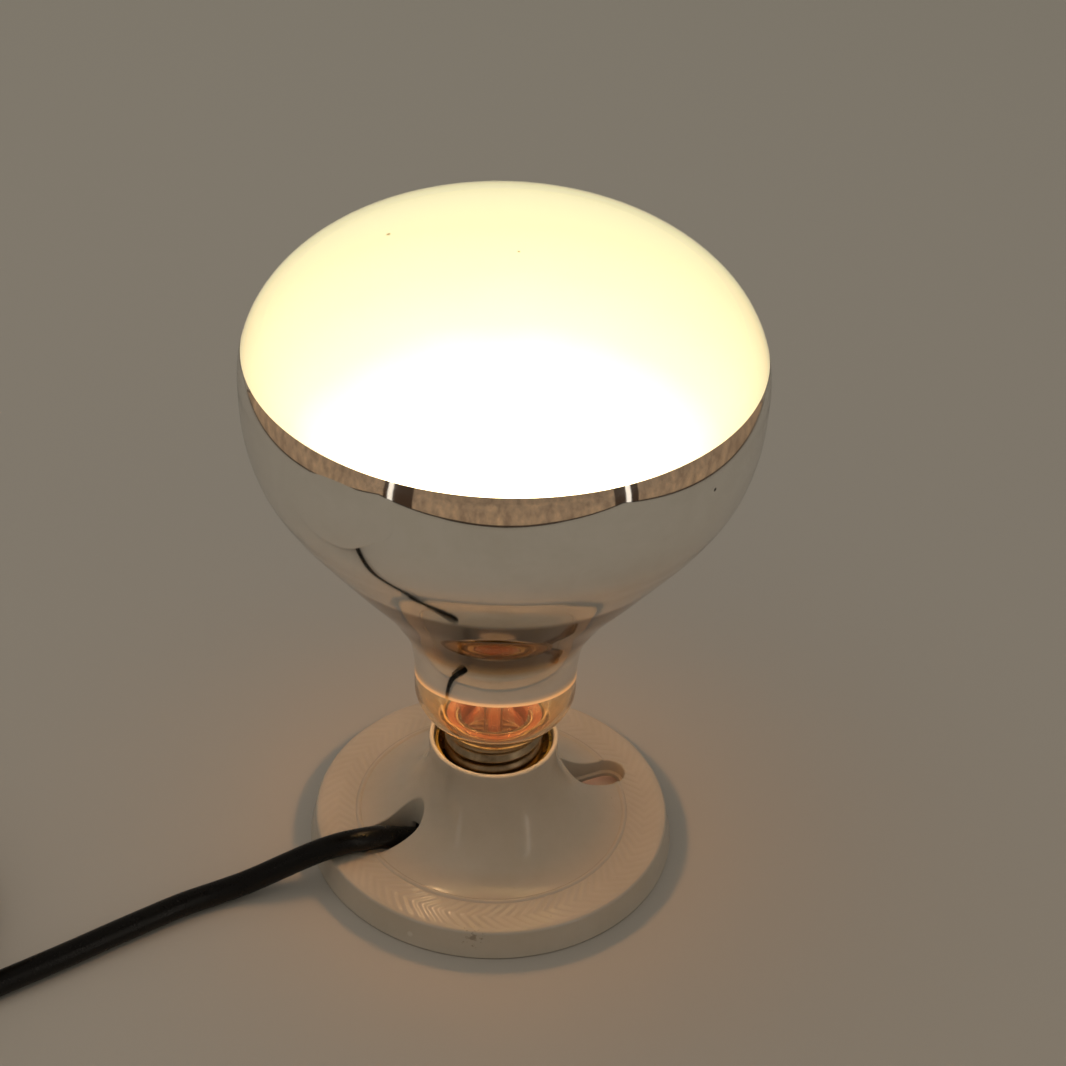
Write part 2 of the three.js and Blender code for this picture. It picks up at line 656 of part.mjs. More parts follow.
// The glass mount: stem, pinch, exhaust tube, leads, rod, supports and filament
function buildMount() {
  const flareFoot = tailFoot + seatGap;
  const flareRadius = tailRadius - glassWall - seatGap;
  const stemLine = [
    [flareRadius, flareFoot],
    [flareRadius, flareFoot + stemSkirt],
    [stemRadius + stemShoulderStep, capRimTop + stemShoulderAbove],
    [stemRadius, capRimTop + stemWaistAbove],
    [stemRadius, stemTop],
  ];
  const stemSolid = turned([[0, flareFoot], ...stemLine, [0, stemTop]], 20);
  const boreLine = stemLine.slice(0, -1).map(([r, z]) => [r - stemWall, z]);
  const boreTop = stemTop - stemWall;
  const bore = turned([
    [0, flareFoot - past],
    [boreLine[0][0], flareFoot - past],
    ...boreLine.slice(1),
    [stemRadius - stemWall, boreTop],
    [0, boreTop],
  ], 20);
  const halfWidth = pressWidth / 2;
  const halfDepth = pressDepth / 2;
  const pressFoot = stemTop - pressHeight / 2;
  const pressTop = stemTop + pressHeight / 2;
  const press = block([-halfWidth, halfWidth], [-halfDepth, halfDepth], [stemTop - stemWall / 2, pressTop]);
  const leadHoles = [-1, 1].map((side) => (
    disc(clearHole(wireRadius), pressFoot, pressTop + past, side * wireSpread, 0, 8)
  ));
  const stem = stemSolid.subtract(bore).add(press).subtract(leadHoles[0]).subtract(leadHoles[1]);
  addNode("glass_stem", stem, "clearGlass");

  const exhaustFoot = tailFoot - exhaustDrop;
  const exhaustTop = boreTop - seatGap;
  const exhaust = turned([
    [exhaustRadius * 0.5, exhaustFoot],
    [exhaustRadius, exhaustFoot],
    [exhaustRadius, exhaustTop],
    [exhaustRadius * 0.5, exhaustTop],
  ], 10);
  addNode("exhaust_tube", exhaust, "clearGlass");

  const leadEnd = filamentZ - filamentRadius - seatGap;
  const climb = [
    [wireSpread, tailFoot],
    [wireSpread, capRimTop + wireStraightAbove],
    [wireSpread, pressTop],
    [filamentRing * 0.75, filamentZ - wireBendDrop],
    [filamentRing, leadEnd],
  ];
  const wireStart = tipFoot + tipHeight + seatGap;
  const liveFoot = [[0, 0, wireStart], [0, 0, capFoot + insulatorSkirt]];
  const sideFoot = [
    [capInner - seatGap - wireRadius, 0, tailFoot - cementHeight],
    [capInner / 2, 0, tailFoot - cementHeight + wireRadius],
  ];
  const live = [...liveFoot, ...climb.map(([x, z]) => [-x, 0, z])];
  const neutral = [...sideFoot, ...climb.map(([x, z]) => [x, 0, z])];
  addNode("lead_wire_centre", tube(live, wireRadius, { sides: 5, steps: 18 }), "copper");
  addNode("lead_wire_side", tube(neutral, wireRadius, { sides: 5, steps: 18 }), "copper");

  const rodFoot = pressTop + seatGap;
  const rodTop = rodFoot + rodLength;
  const rod = turned([
    [0, rodFoot],
    [rodRadius, rodFoot],
    [rodRadius, rodTop - rodButton * 2],
    [rodButton, rodTop - rodButton],
    [rodRadius, rodTop],
    [0, rodTop],
  ], 12);
  addNode("glass_rod", rod, "clearGlass");

  const hang = filamentZ - filamentRadius - seatGap - supportRadius;
  [225, 270, 315].forEach((degrees, i) => {
    const angle = THREE.MathUtils.degToRad(degrees);
    const at = (radius, z) => [radius * Math.cos(angle), radius * Math.sin(angle), z];
    const foot = at(rodButton + seatGap, rodTop - rodButton);
    const path = [foot, at(filamentRing * 0.7, hang - supportDrop), at(filamentRing, hang)];
    addNode(`filament_support_${i + 1}`, tube(path, supportRadius, { sides: 5, steps: 6 }), "steel");
  });
  const ring = steps(12, (t) => {
    const angle = Math.PI * (1 + t);
    return [filamentRing * Math.cos(angle), filamentRing * Math.sin(angle), filamentZ];
  });
  addNode("filament", tube(ring, filamentRadius, { steps: 16 }), "tungsten");
}

// Lead: out of the left slot, over the flange, down to the table and away
const cordTopZ = flangeHeight + cordRadius + cordTopClear;
const swing = Math.acos(1 - (cordTopZ - cordZ) / (2 * cordBend));
const innerFlatX = cordTopX - 2 * cordBend * Math.sin(swing);

function risingPoint(x) {
  const turnX = cordTopX - cordBend * Math.sin(swing);
  const along = x < turnX ? x - innerFlatX : cordTopX - x;
  const sag = cordBend - Math.sqrt(cordBend ** 2 - along ** 2);
  return x < turnX ? cordZ + sag : cordTopZ - sag;
}

// Chosen points where the lead lies free: x, y, and height over its rest on the table
const cordRoute = [
  [48.4, -1.2, 7.9], [53.2, -0.4, 6.5], [58.5, 0.6, 4.4], [64.5, 1.6, 2.1], [70.5, 2.1, 0.6],
  [77, 2.2, 0], [87, 1.6, 0], [99, -0.2, 0], [109, -1.9, 0], [118, -3.5, 0], [128, -5.1, 0],
  [137, -6.5, 0], [147, -8.2, 0], [158, -10.4, 0], [166, -12.2, 0],
];
const slotRoute = [[27.5, -0.2], [30.5, -0.6], [34, -1.2], [37.5, -1.7], [40.5, -1.8], [43.5, -1.7]];
const insideRoute = [13, 15, 17, 19, 20.8]; // x only: straight inwards from the slot
const coreRoute = [[9, 2.65], [4, 6]];

// A point on the rising stretch's tangent where the lead is divided
function besideCut(distance) {
  const rise = risingPoint(cordCutX + past) - risingPoint(cordCutX);
  const along = distance / Math.hypot(past, rise);
  return [-cordCutX - along * past, 0, risingPoint(cordCutX) + along * rise];
}

function buildCordInside() {
  const inner = insideRoute.map((x) => [-x, 0, x < innerFlatX ? cordZ : risingPoint(x)]);
  inner.push(besideCut(-seatGap - 2 * past), besideCut(-seatGap));
  addNode("cord_inner", tube(inner, cordRadius, { sides: 8, steps: 6 }), "blackSheath");
  const names = { 1: ["live", "brownSheath"], "-1": ["neutral", "blueSheath"] };
  for (const side of [1, -1]) {
    const [word, finish] = names[side];
    const coreFoot = rivetHead + rivetFootRadius + coreRadius;
    const coreEnd = [coreEndX, side * (terminalY + coreRadius + seatGap), coreFoot - seatGap];
    const core = [
      [seatGap - insideRoute[0], side * coreSpread, cordZ],
      ...coreRoute.map(([x, y]) => [-x, side * y, cordZ]),
      coreEnd,
    ];
    addNode(`${word}_core`, tube(core, coreRadius, { sides: 8, steps: 8 }), finish);
    const hook = terminalShank + seatGap + strandRadius;
    const bare = [
      [coreEnd[0] + seatGap, coreEnd[1], coreEnd[2]],
      [coreEnd[0] + bareLead, side * (terminalY + hook), strandZ],
      ...steps(5, (t) => {
        const angle = side * Math.PI * (0.5 - t);
        return [terminalX + hook * Math.cos(angle), side * terminalY + hook * Math.sin(angle), strandZ];
      }),
    ];
    addNode(`${word}_strands`, tube(bare, strandRadius, { sides: 6, steps: 14 }), "copper");
  }
}

function buildCordRun() {
  const rising = slotRoute.map(([x, y]) => [-x, y, risingPoint(x)]);
  const free = cordRoute.map(([x, y, lift]) => [-x, y, cordZ + lift]);
  const points = [besideCut(0), besideCut(cordStart), ...rising, ...free];
  addNode("cord_run", tube(points, cordRadius, { sides: 8, steps: 34 }), "blackSheath");
}

// Coil: the turns spiral in on the table, climb one layer, and spiral out again
const coilLift = tieSheet + seatGap;
const turnPitch = cordDiameter + turnGap;
const coilHeading = new THREE.Vector2(-0.974, -0.226).normalize();
const runEnd = new THREE.Vector2(-cordRoute.at(-1)[0], cordRoute.at(-1)[1]);
const coilEntry = runEnd.clone().addScaledVector(coilHeading, cordDiameter + seatGap);
const coilSide = new THREE.Vector2(coilHeading.y, -coilHeading.x);
const coilCentre = coilEntry.clone().addScaledVector(coilSide, coilOuter);
const entryAngle = Math.atan2(coilEntry.y - coilCentre.y, coilEntry.x - coilCentre.x);
const coilBase = cordZ + coilLift;

function coilPoint(turn) {
  const half = coilTurns / 2;
  const fromMiddle = Math.abs(turn - half);
  const eased = Math.hypot(fromMiddle, turnEase) - Math.hypot(half, turnEase);
  const radius = coilOuter + turnPitch * eased;
  const angle = entryAngle - turn * Math.PI * 2;
  const climb = smooth((turn - half) * 2 + 0.5);
  const settle = coilLift * smooth(1 - turn / settleTurns);
  return [
    coilCentre.x + radius * Math.cos(angle),
    coilCentre.y + radius * Math.sin(angle),
    coilBase - settle + turnPitch * climb,
  ];
}

const plugZ = plugThickness / 2 + cordRest;
const coilEndAngle = entryAngle - coilTurns * Math.PI * 2;
const tailHeading = new THREE.Vector2(Math.sin(coilEndAngle), -Math.cos(coilEndAngle));

function tailPoint(distance) {
  const [x, y, z] = coilPoint(coilTurns);
  const drop = smooth((distance - tailLevel) / (coilTail - cordDiameter - tailLevel));
  const height = THREE.MathUtils.lerp(z, plugZ, drop);
  return [x + tailHeading.x * distance, y + tailHeading.y * distance, height];
}

function leastSelfGap(path, sampleCount) {
  const samples = path.getSpacedPoints(sampleCount);
  const spacing = path.getLength() / sampleCount;
  const skip = Math.ceil((cordDiameter * 3) / spacing);
  let least = Infinity;
  samples.forEach((point, i) => {
    for (let k = i + skip; k < samples.length; k += 1) {
      least = Math.min(least, point.distanceTo(samples[k]));
    }
  });
  return least - cordDiameter;
}

function buildCoil() {
  const turnSteps = 24;
  const leadIn = [cordDiameter, cordDiameter / 2].map((back) => [
    coilEntry.x - coilHeading.x * back,
    coilEntry.y - coilHeading.y * back,
    cordZ,
  ]);
  const wound = steps(Math.round(coilTurns * turnSteps), (t) => coilPoint(t * coilTurns));
  const leadOut = [cordDiameter / 2, cordDiameter].map(tailPoint);
  const points = [...leadIn, ...wound, ...leadOut];
  const path = new THREE.CatmullRomCurve3(points.map((point) => new THREE.Vector3(...point)));
  path.arcLengthDivisions = 2000;
  const length = path.getLength().toFixed(0);
  console.log(`coil: ${length} mm of lead, least gap ${leastSelfGap(path, 1200).toFixed(2)} mm`);
  const options = { extrudePath: path, steps: points.length, curveSegments: 6 };
  const turns = new THREE.ExtrudeGeometry(roundShape(cordRadius, 6), options);
  addNode("cord_coil", solidFrom(turns), "blackSheath");
}

function buildTail() {
  const from = cordDiameter + seatGap;
  const points = steps(9, (t) => tailPoint(THREE.MathUtils.lerp(from, coilTail, t)));
  addNode("cord_tail", tube(points, cordRadius, { sides: 8, steps: 10 }), "blackSheath");
}

function buildTie() {
  const angle = entryAngle + tieTurn * Math.PI * 2;
  const inner = coilOuter - turnPitch * (coilTurns / 2) - cordRadius;
  const outer = coilOuter + turnPitch / 2 + cordRadius;
  const clear = seatGap + tieSheet;
  const low = coilBase - cordRadius - seatGap;
  const high = coilBase + turnPitch + cordRadius + seatGap;
  const band = new THREE.Shape([
    new THREE.Vector2(inner - clear, low - tieSheet),
    new THREE.Vector2(outer + clear, low - tieSheet),
    new THREE.Vector2(outer + clear, high + tieSheet),
    new THREE.Vector2(inner - clear, high + tieSheet),
  ]);
  band.holes.push(new THREE.Path([
    new THREE.Vector2(inner - seatGap, low),
    new THREE.Vector2(inner - seatGap, high),
    new THREE.Vector2(outer + seatGap, high),
    new THREE.Vector2(outer + seatGap, low),
  ]));
  const geometry = new THREE.ExtrudeGeometry(band, { depth: tieWidth, bevelEnabled: false });
  geometry.rotateX(Math.PI / 2).translate(0, tieWidth / 2, 0);
  geometry.rotateZ(angle).translate(coilCentre.x, coilCentre.y, 0);
  addNode("coil_tie", solidFrom(geometry), "blackSheath");
}

// Plug: a flat two-pin body with a tapered relief, lying in line with the coil's tail
function buildPlug() {
  const heading = Math.atan2(tailHeading.y, tailHeading.x);
  const [tailX, tailY] = tailPoint(coilTail);
  const place = (geometry) => geometry.rotateZ(heading).translate(tailX, tailY, plugZ);
  const reliefStart = seatGap;
  const bodyStart = reliefStart + reliefLength + seatGap;
  const bodyEnd = bodyStart + plugLength;

  const taper = new THREE.LatheGeometry([
    new THREE.Vector2(0, reliefStart),
    new THREE.Vector2(cordRadius + reliefStep, reliefStart),
    new THREE.Vector2(reliefRadius, reliefStart + reliefLength),
    new THREE.Vector2(0, reliefStart + reliefLength),
  ], 12);
  addNode("plug_relief", solidFrom(place(taper.rotateZ(-Math.PI / 2))), "blackSheath");

  const half = plugWidth / 2;
  const back = reliefRadius + reliefStep;
  const outline = new THREE.Shape([
    new THREE.Vector2(bodyStart, -back),
    new THREE.Vector2(bodyEnd - plugNose, -half),
    new THREE.Vector2(bodyEnd, -half),
    new THREE.Vector2(bodyEnd, half),
    new THREE.Vector2(bodyEnd - plugNose, half),
    new THREE.Vector2(bodyStart, back),
  ]);
  const body = new THREE.ExtrudeGeometry(outline, {
    depth: plugThickness - 2 * plugEdge,
    bevelThickness: plugEdge,
    bevelSize: plugEdge,
    bevelOffset: -plugEdge,
    bevelSegments: 2,
  }).translate(0, 0, plugEdge - plugThickness / 2);
  addNode("plug_body", solidFrom(place(body)), "blackSheath");
  [-1, 1].forEach((side, i) => {
    const pin = new THREE.CylinderGeometry(pinRadius, pinRadius, pinLength, 10).rotateZ(Math.PI / 2);
    pin.translate(bodyEnd + seatGap + pinLength / 2, (side * pinPitch) / 2, 0);
    addNode(`plug_pin_${i + 1}`, solidFrom(place(pin)), "nickel");
  });
}

buildHolder();
buildScrewShell();
buildCentreContact();
buildTerminals();
buildBulbGlass();
buildCap();
buildMount();
buildCordInside();
buildCordRun();
buildCoil();
buildTail();
buildTie();
buildPlug();

export default lamp;
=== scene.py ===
# Infrared heat lamp: a mirrored reflector bulb lit in a round white lampholder, with its black lead.
# Lengths are in millimetres until a mesh is made, which turns them to metres.
import math
from functools import partial

import bpy
import numpy as np
from mathutils import Matrix, Vector


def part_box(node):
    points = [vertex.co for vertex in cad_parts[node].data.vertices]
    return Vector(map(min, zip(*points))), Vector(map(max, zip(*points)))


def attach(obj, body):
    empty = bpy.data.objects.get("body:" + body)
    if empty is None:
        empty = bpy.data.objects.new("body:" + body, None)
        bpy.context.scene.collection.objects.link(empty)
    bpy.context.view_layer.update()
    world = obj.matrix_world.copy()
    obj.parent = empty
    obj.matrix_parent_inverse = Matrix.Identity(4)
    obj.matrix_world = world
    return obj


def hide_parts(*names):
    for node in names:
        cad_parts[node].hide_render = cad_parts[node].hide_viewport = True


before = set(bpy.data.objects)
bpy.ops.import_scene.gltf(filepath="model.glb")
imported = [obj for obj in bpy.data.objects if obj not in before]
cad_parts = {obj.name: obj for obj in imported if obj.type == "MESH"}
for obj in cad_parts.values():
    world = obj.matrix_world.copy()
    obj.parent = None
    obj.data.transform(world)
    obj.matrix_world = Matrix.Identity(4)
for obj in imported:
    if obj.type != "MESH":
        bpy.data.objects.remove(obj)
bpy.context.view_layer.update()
mm = 0.001
turn = 2 * math.pi


def cadSize(node):
    # A turned node's radius, lowest and highest point at rest, in millimetres
    low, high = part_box(node)
    return high[0] / mm, low[2] / mm, high[2] / mm


# Camera: where the photograph was taken from, with the picture's right and up directions
camera = {
    "place": (-195.40, -413.33, 436.37),
    "right": (0.90638, -0.42124, 0.03321),
    "up": (0.22560, 0.54888, 0.8049),
    "lens": 77.44,
    "sensor": 36,
}


def show(name, data):
    # Puts a mesh, a lamp or the camera in the scene
    data.name = name
    thing = bpy.data.objects.new(name, data)
    bpy.context.scene.collection.objects.link(thing)
    return thing


def makeCamera():
    data = bpy.data.cameras.new("photoCamera")
    data.lens = camera["lens"]
    data.sensor_width = camera["sensor"]
    right = Vector(camera["right"]).normalized()
    back = right.cross(Vector(camera["up"])).normalized()
    facing = Matrix((right, back.cross(right), back)).transposed().to_4x4()
    eye = show("photoCamera", data)
    eye.matrix_world = Matrix.Translation(Vector(camera["place"]) * mm) @ facing
    bpy.context.scene.camera = eye
    bpy.context.scene.view_settings.view_transform = "Standard"
    print("camera placed")


def linear(hexColour):
    # sRGB to linear light, by the usual curve with its straight foot
    shares = np.array([int(hexColour[i:i + 2], 16) for i in (1, 3, 5)]) / 255
    light = np.where(shares <= 0.04045, shares / 12.92, ((shares + 0.055) / 1.055) ** 2.4)
    return (*light, 1.0)


def fill(node, inputs):
    # Gives a node's sockets, by name or number, their values or links
    for socket, value in inputs.items():
        if isinstance(value, bpy.types.NodeSocket):
            node.id_data.links.new(value, node.inputs[socket])
        else:
            node.inputs[socket].default_value = value


def addNode(tree, kind, inputs=(), out=0, stops=(), **settings):
    # Adds one shader node and returns one of its outputs. Inputs are a dictionary, or a list in the node's
    # own order. A ramp's stops are (position, sRGB hex)
    made = tree.nodes.new("ShaderNode" + kind)
    for key, value in settings.items():
        setattr(made, key, value)
    fill(made, inputs if isinstance(inputs, dict) else dict(enumerate(inputs)))
    band = made.color_ramp.elements if stops else ()
    while len(band) < len(stops):
        band.new(0.5)
    for element, (position, colour) in zip(band, stops):
        element.position = position
        element.color = linear(colour)
    return made.outputs[out]


def newFinish(name, **sockets):
    # A material with one Principled shader, with the function that adds nodes to it, the one that feeds the
    # shader by its sockets' names without spaces, and the place on the piece
    made = bpy.data.materials.new(name)
    made.use_nodes = True
    shader = made.node_tree.nodes["Principled BSDF"]
    names = {socket.name.replace(" ", "").lower(): socket.name for socket in shader.inputs}

    def feed(**given):
        fill(shader, {names[key.lower()]: value for key, value in given.items()})

    feed(**sockets)
    node = partial(addNode, made.node_tree)
    return made, node, feed, node("TexCoord", out="Object")


def mottled(name, tones, cell, gloss, grain, relief, **sockets):
    # Cloudy tones of one colour, gloss that follows the cloud, and a fine grain. cell and grain are the
    # sizes of the clouds and of the grain, and relief is how high the grain stands
    made, node, feed, place = newFinish(name, **sockets)
    cloud = node("TexNoise", {"Vector": place, "Scale": 1 / (cell * mm), "Detail": 4.0, "Roughness": 0.6})
    fine = node("TexNoise", {"Vector": place, "Scale": 1 / (grain * mm)})
    feed(
        baseColor=node("ValToRGB", [cloud], stops=tones),
        roughness=node("MapRange", [cloud, 0.3, 0.7, *gloss]),
        normal=node("Bump", {"Height": fine, "Distance": relief * mm}),
    )
    return made


def toneBetween(node, place, low, high, stops, axis="Z"):
    # Colours that run from one height on the piece to another
    height = node("SeparateXYZ", [place], axis)
    return node("ValToRGB", [node("MapRange", [height, low * mm, high * mm])], stops=stops)


def nearness(node, place, spot, inner, outer, most=1.0):
    # The most within the inner distance of a spot, fading to 0 at the outer one
    far = node("VectorMath", [place, [v * mm for v in spot]], "Value", operation="DISTANCE")
    return node("MapRange", [far, inner * mm, outer * mm, most, 0.0])


def unit(v):
    # Vectors brought to length 1
    return v / np.linalg.norm(v, axis=-1, keepdims=True)


def smooth(t):
    # Eases from 0 to 1: 3 t^2 - 2 t^3
    t = np.clip(t, 0, 1)
    return t * t * (3 - 2 * t)


def roundAngles(count, start=0.0):
    # Even angles once round, as a column
    return (np.arange(count) / count * turn + start)[:, None]


def runLength(path):
    # How far along a path each of its points lies
    return np.concatenate([[0], np.cumsum(np.linalg.norm(np.diff(path, axis=0), axis=1))])


def outwards(outline):
    # Directions square to a closed outline, away from its middle
    ahead = np.roll(outline, -1, 0) - np.roll(outline, 1, 0)
    square = unit(np.stack([ahead[:, 1], -ahead[:, 0]], 1))
    return square * np.sign(((outline - outline.mean(0)) * square).sum())


def makeMesh(points, quads, attributes=()):
    # Squares with two corners in one point, as at a pole, become triangles. A closed surface is inside out
    # where the sum of a . (b x c) over its triangles is negative, and is then turned.
    points = points.reshape(-1, 3)
    a, b, c, d = (points[quads[:, k]] for k in range(4))
    if (a * np.cross(b, c)).sum() + (a * np.cross(c, d)).sum() < 0:
        quads = quads[:, ::-1]
    same = quads == np.roll(quads, -1, axis=1)
    squares = quads[same.sum(1) == 0]
    pinched = quads[same.sum(1) == 1]
    triangles = pinched[~same[same.sum(1) == 1]].reshape(-1, 3)
    used, corners = np.unique(np.concatenate([squares.ravel(), triangles.ravel()]), return_inverse=True)
    fours, threes = corners[:squares.size].reshape(-1, 4), corners[squares.size:].reshape(-1, 3)
    mesh = bpy.data.meshes.new("surface")
    mesh.from_pydata(points[used] * mm, [], [*fours.tolist(), *threes.tolist()], shade_flat=False)
    for key, values in dict(attributes).items():
        layer = mesh.attributes.new(key, "FLOAT", "POINT")
        layer.data.foreach_set("value", np.asarray(values).ravel()[used].astype(np.float32))
    return mesh


def quadsOf(index):
    # Squares between neighbours in a table of point numbers
    return np.stack([index[:-1, :-1], index[1:, :-1], index[1:, 1:], index[:-1, 1:]], -1).reshape(-1, 4)


def skin(points, closedRows=True, attributes=()):
    # A surface over a table of points, closed round its columns and, if asked, its rows.
    # A row or a column whose points all lie together is a pole.
    index = np.arange(points.shape[0] * points.shape[1]).reshape(points.shape[:2])
    poleRows = np.ptp(points, axis=1).max(-1) < 1e-6
    poleColumns = np.ptp(points, axis=0).max(-1) < 1e-6
    index[poleRows] = index[poleRows, :1]
    index[:, poleColumns] = index[:1, poleColumns]
    if closedRows:
        index = np.concatenate([index, index[:1]])
    return makeMesh(points, quadsOf(np.concatenate([index, index[:, :1]], 1)), attributes)


def addPiece(name, mesh, finish, body, slot, *replaced, crease=35):
    # Puts a mesh on its body in place of CAD nodes, smooth but for edges sharper than the crease angle
    mesh.materials.append(finish)
    mesh.shade_smooth()
    mesh.set_sharp_from_angle(angle=math.radians(crease))
    piece = show(name, mesh)
    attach(piece, body)
    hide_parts(*replaced)
    return piece


def dress(finish, *nodes):
    # Gives a finish to CAD nodes whose shape stays
    for node in nodes:
        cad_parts[node].material_slots[0].material = finish


def turned(r, z, columns=96):
    # x = r cos(angle), y = r sin(angle), z. One outline, or an r and z that change with the angle
    angle = roundAngles(columns)
    return np.stack(np.broadcast_arrays(r * np.cos(angle), r * np.sin(angle), z), -1)


def lathe(outline, columns=96):
    # A closed (radius, height) outline turned about Z
    r, z = np.array(outline, float).T
    return skin(turned(r, z, columns))


def rounded(corners, steps=5):
    # Each (radius, height, fillet) corner of a closed outline becomes an arc that touches both its sides
    corners = np.array(corners, float)
    line = []
    for before, corner, after in zip(np.roll(corners, 1, 0), corners, np.roll(corners, -1, 0)):
        here, fillet = corner[:2], corner[2]
        if fillet == 0:
            line.append(here)
            continue
        toBefore = unit(before[:2] - here)
        toAfter = unit(after[:2] - here)
        half = math.acos(np.clip(toBefore @ toAfter, -1, 1)) / 2
        centre = here + unit(toBefore + toAfter) * fillet / math.sin(half)
        first, last = (here + side * fillet / math.tan(half) - centre for side in (toBefore, toAfter))
        sweep = math.pi - 2 * half
        for a in np.linspace(0, 1, steps + 1) * sweep:
            line.append(centre + (first * math.sin(sweep - a) + last * math.sin(a)) / math.sin(sweep))
    return np.array(line)


def throughPoints(points, perSpan, before=None, after=None):
    # A curve through points, each span a cubic whose end slopes follow the square root of the spacing
    points = np.array(points, float)
    first = 2 * points[0] - points[1] if before is None else before
    last = 2 * points[-1] - points[-2] if after is None else after
    points = np.concatenate([[first], points, [last]])
    p0, p1, p2, p3 = (points[i:len(points) - 3 + i, None] for i in range(4))
    step0, step1, step2 = (
        np.sqrt(np.linalg.norm(b - a, axis=-1, keepdims=True)) for a, b in ((p0, p1), (p1, p2), (p2, p3))
    )
    slope1 = ((p1 - p0) / step0 - (p2 - p0) / (step0 + step1) + (p2 - p1) / step1) * step1
    slope2 = ((p2 - p1) / step1 - (p3 - p1) / (step1 + step2) + (p3 - p2) / step2) * step1
    t = np.linspace(0, 1, perSpan, endpoint=False)[None, :, None]
    curve = (
        p1 + slope1 * t
        + (3 * (p2 - p1) - 2 * slope1 - slope2) * t ** 2
        + (2 * (p1 - p2) + slope1 + slope2) * t ** 3
    )
    return np.concatenate([curve.reshape(-1, points.shape[1]), points[-2:-1]])


def resampled(path, spacing):
    # The same line with points an even distance apart, and how far along each lies
    length = runLength(path)
    even = np.linspace(0, length[-1], max(int(round(length[-1] / spacing)), 2) + 1)
    return np.stack([np.interp(even, length, path[:, k]) for k in range(path.shape[1])], 1), even


def roundedBox(left, right, low, high, fillet, steps):
    sides = ((left, low), (right, low), (right, high), (left, high))
    return rounded([(x, z, fillet) for x, z in sides], steps)


def inset(outline, distance):
    # An open (radius, height) line moved to its left by a distance, square to itself
    ahead = np.gradient(outline, axis=0)
    ahead[outline[:, 0] < 1e-6] = (-1, 0)
    ahead = unit(ahead)
    return outline + distance * np.stack([-ahead[:, 1], ahead[:, 0]], 1)


def tube(path, radius, sides=16, endRound=0.0, upright=(0, 0, 1)):
    # A round section carried along a path: path + radius (side cos(a) + top sin(a)), closed by a point at
    # each end. The side is square to the path and to the upright direction, so the section never twists.
    path = np.array(path, float)
    tangent = unit(np.gradient(path, axis=0))
    side = unit(np.cross(tangent, np.broadcast_to(upright, path.shape)))
    top = np.cross(side, tangent)
    angle = roundAngles(sides)
    radius = np.broadcast_to(np.asarray(radius, float), len(path))[:, None, None]
    points = path[:, None] + radius * (side[:, None] * np.cos(angle) + top[:, None] * np.sin(angle))
    startCap = np.broadcast_to(path[:1, None] - tangent[0] * endRound, points[:1].shape)
    endCap = np.broadcast_to(path[-1:, None] + tangent[-1] * endRound, points[:1].shape)
    length = runLength(path)
    along = np.concatenate([[0], length, length[-1:]])[:, None] * np.ones(sides)
    return skin(np.concatenate([startCap, points, endCap]), closedRows=False, attributes={"along": along})


def plate(outline, low, high, edge, steps=3):
    # A flat piece with rounded edges: its outline is drawn in by edge (1 - sin(a)) where it is
    # edge (1 - cos(a)) from a face, and both faces are closed at their middle
    outline = np.array(outline, float)
    a = np.linspace(0, math.pi / 2, steps + 1)
    drawn = np.concatenate([edge * (1 - np.sin(a)), edge * (1 - np.sin(a[::-1]))])
    height = np.concatenate([low + edge * (1 - np.cos(a)), high - edge * (1 - np.cos(a[::-1]))])
    flat = outline[None] - outwards(outline)[None] * drawn[:, None, None]
    rows = np.concatenate([flat, np.broadcast_to(height[:, None, None], (*flat.shape[:2], 1))], -1)
    ends = [np.broadcast_to((*outline.mean(0), z), (1, len(outline), 3)) for z in (low, high)]
    return np.concatenate([ends[0], rows, ends[1]])


def placed(points, origin, heading):
    # A table of points turned about Z by the heading, then moved
    c, s = math.cos(heading), math.sin(heading)
    return points @ np.array([[c, s, 0], [-s, c, 0], [0, 0, 1]]) + np.array(origin)


# Mains lead: out of the left slot, over the flange, along the table, and wound up past the view's left edge
lead = {
    "diameter": 6.3,
    "bend": 25.2,  # least bend radius of the middle line
    "rest": 0.1,  # clear of the table
    "overFlange": (43.5, 11.7),
    "inside": [13, 15, 17, 19, 20.8],
    "cut": 24.7,  # where the lead leaves the holder
    "besideCut": (-2.3, -0.3, 0, 1.5),
    "slotRoute": [[27.5, -0.2], [30.5, -0.6], [34, -1.2], [37.5, -1.7], [40.5, -1.8], [43.5, -1.7]],
    "tableRoute": [
        [48.4, -1.2, 7.9], [53.2, -0.4, 6.5], [58.5, 0.6, 4.4], [64.5, 1.6, 2.1], [70.5, 2.1, 0.6],
        [77, 2.2, 0], [87, 1.6, 0], [99, -0.2, 0], [109, -1.9, 0], [118, -3.5, 0], [128, -5.1, 0],
        [137, -6.5, 0], [147, -8.2, 0], [158, -10.4, 0], [166, -12.2, 0],
    ],
    "turns": 7.03,
    "coilPoints": 169,
    "coilRadius": 48.3,
    "turnPitch": 7.0,
    "turnEase": 0.12,
    "coilLift": 1.1,
    "settleTurns": 1 / 3,
    "heading": (-0.974, -0.226),
    "toEntry": 6.6,
    "tailStart": 3,
    "tailLevel": 14,
    "tail": 46,
    "tailPoints": 14,
    "sides": 20,
    "spacing": 1.5,
    "drawLine": 3.3,  # length of the faint waver that the extruder leaves
}
plug = {
    "thickness": 13.6,
    "width": 26,
    "length": 35,
    "nose": 15,
    "back": 5.8,
    "edge": 3.0,
    "corner": 3.2,  # seen from above, more than the edge's rounding
    "shoulder": 9,
    "relief": 22,
    "reliefRadii": (3.75, 5.2),
    "grooves": 8,
    "grooveDepth": 0.55,
    "pinRadius": 2,
    "pinLength": 19,
    "pinPitch": 18.6,
    "sleeve": 10,
    "gap": 0.3,
}
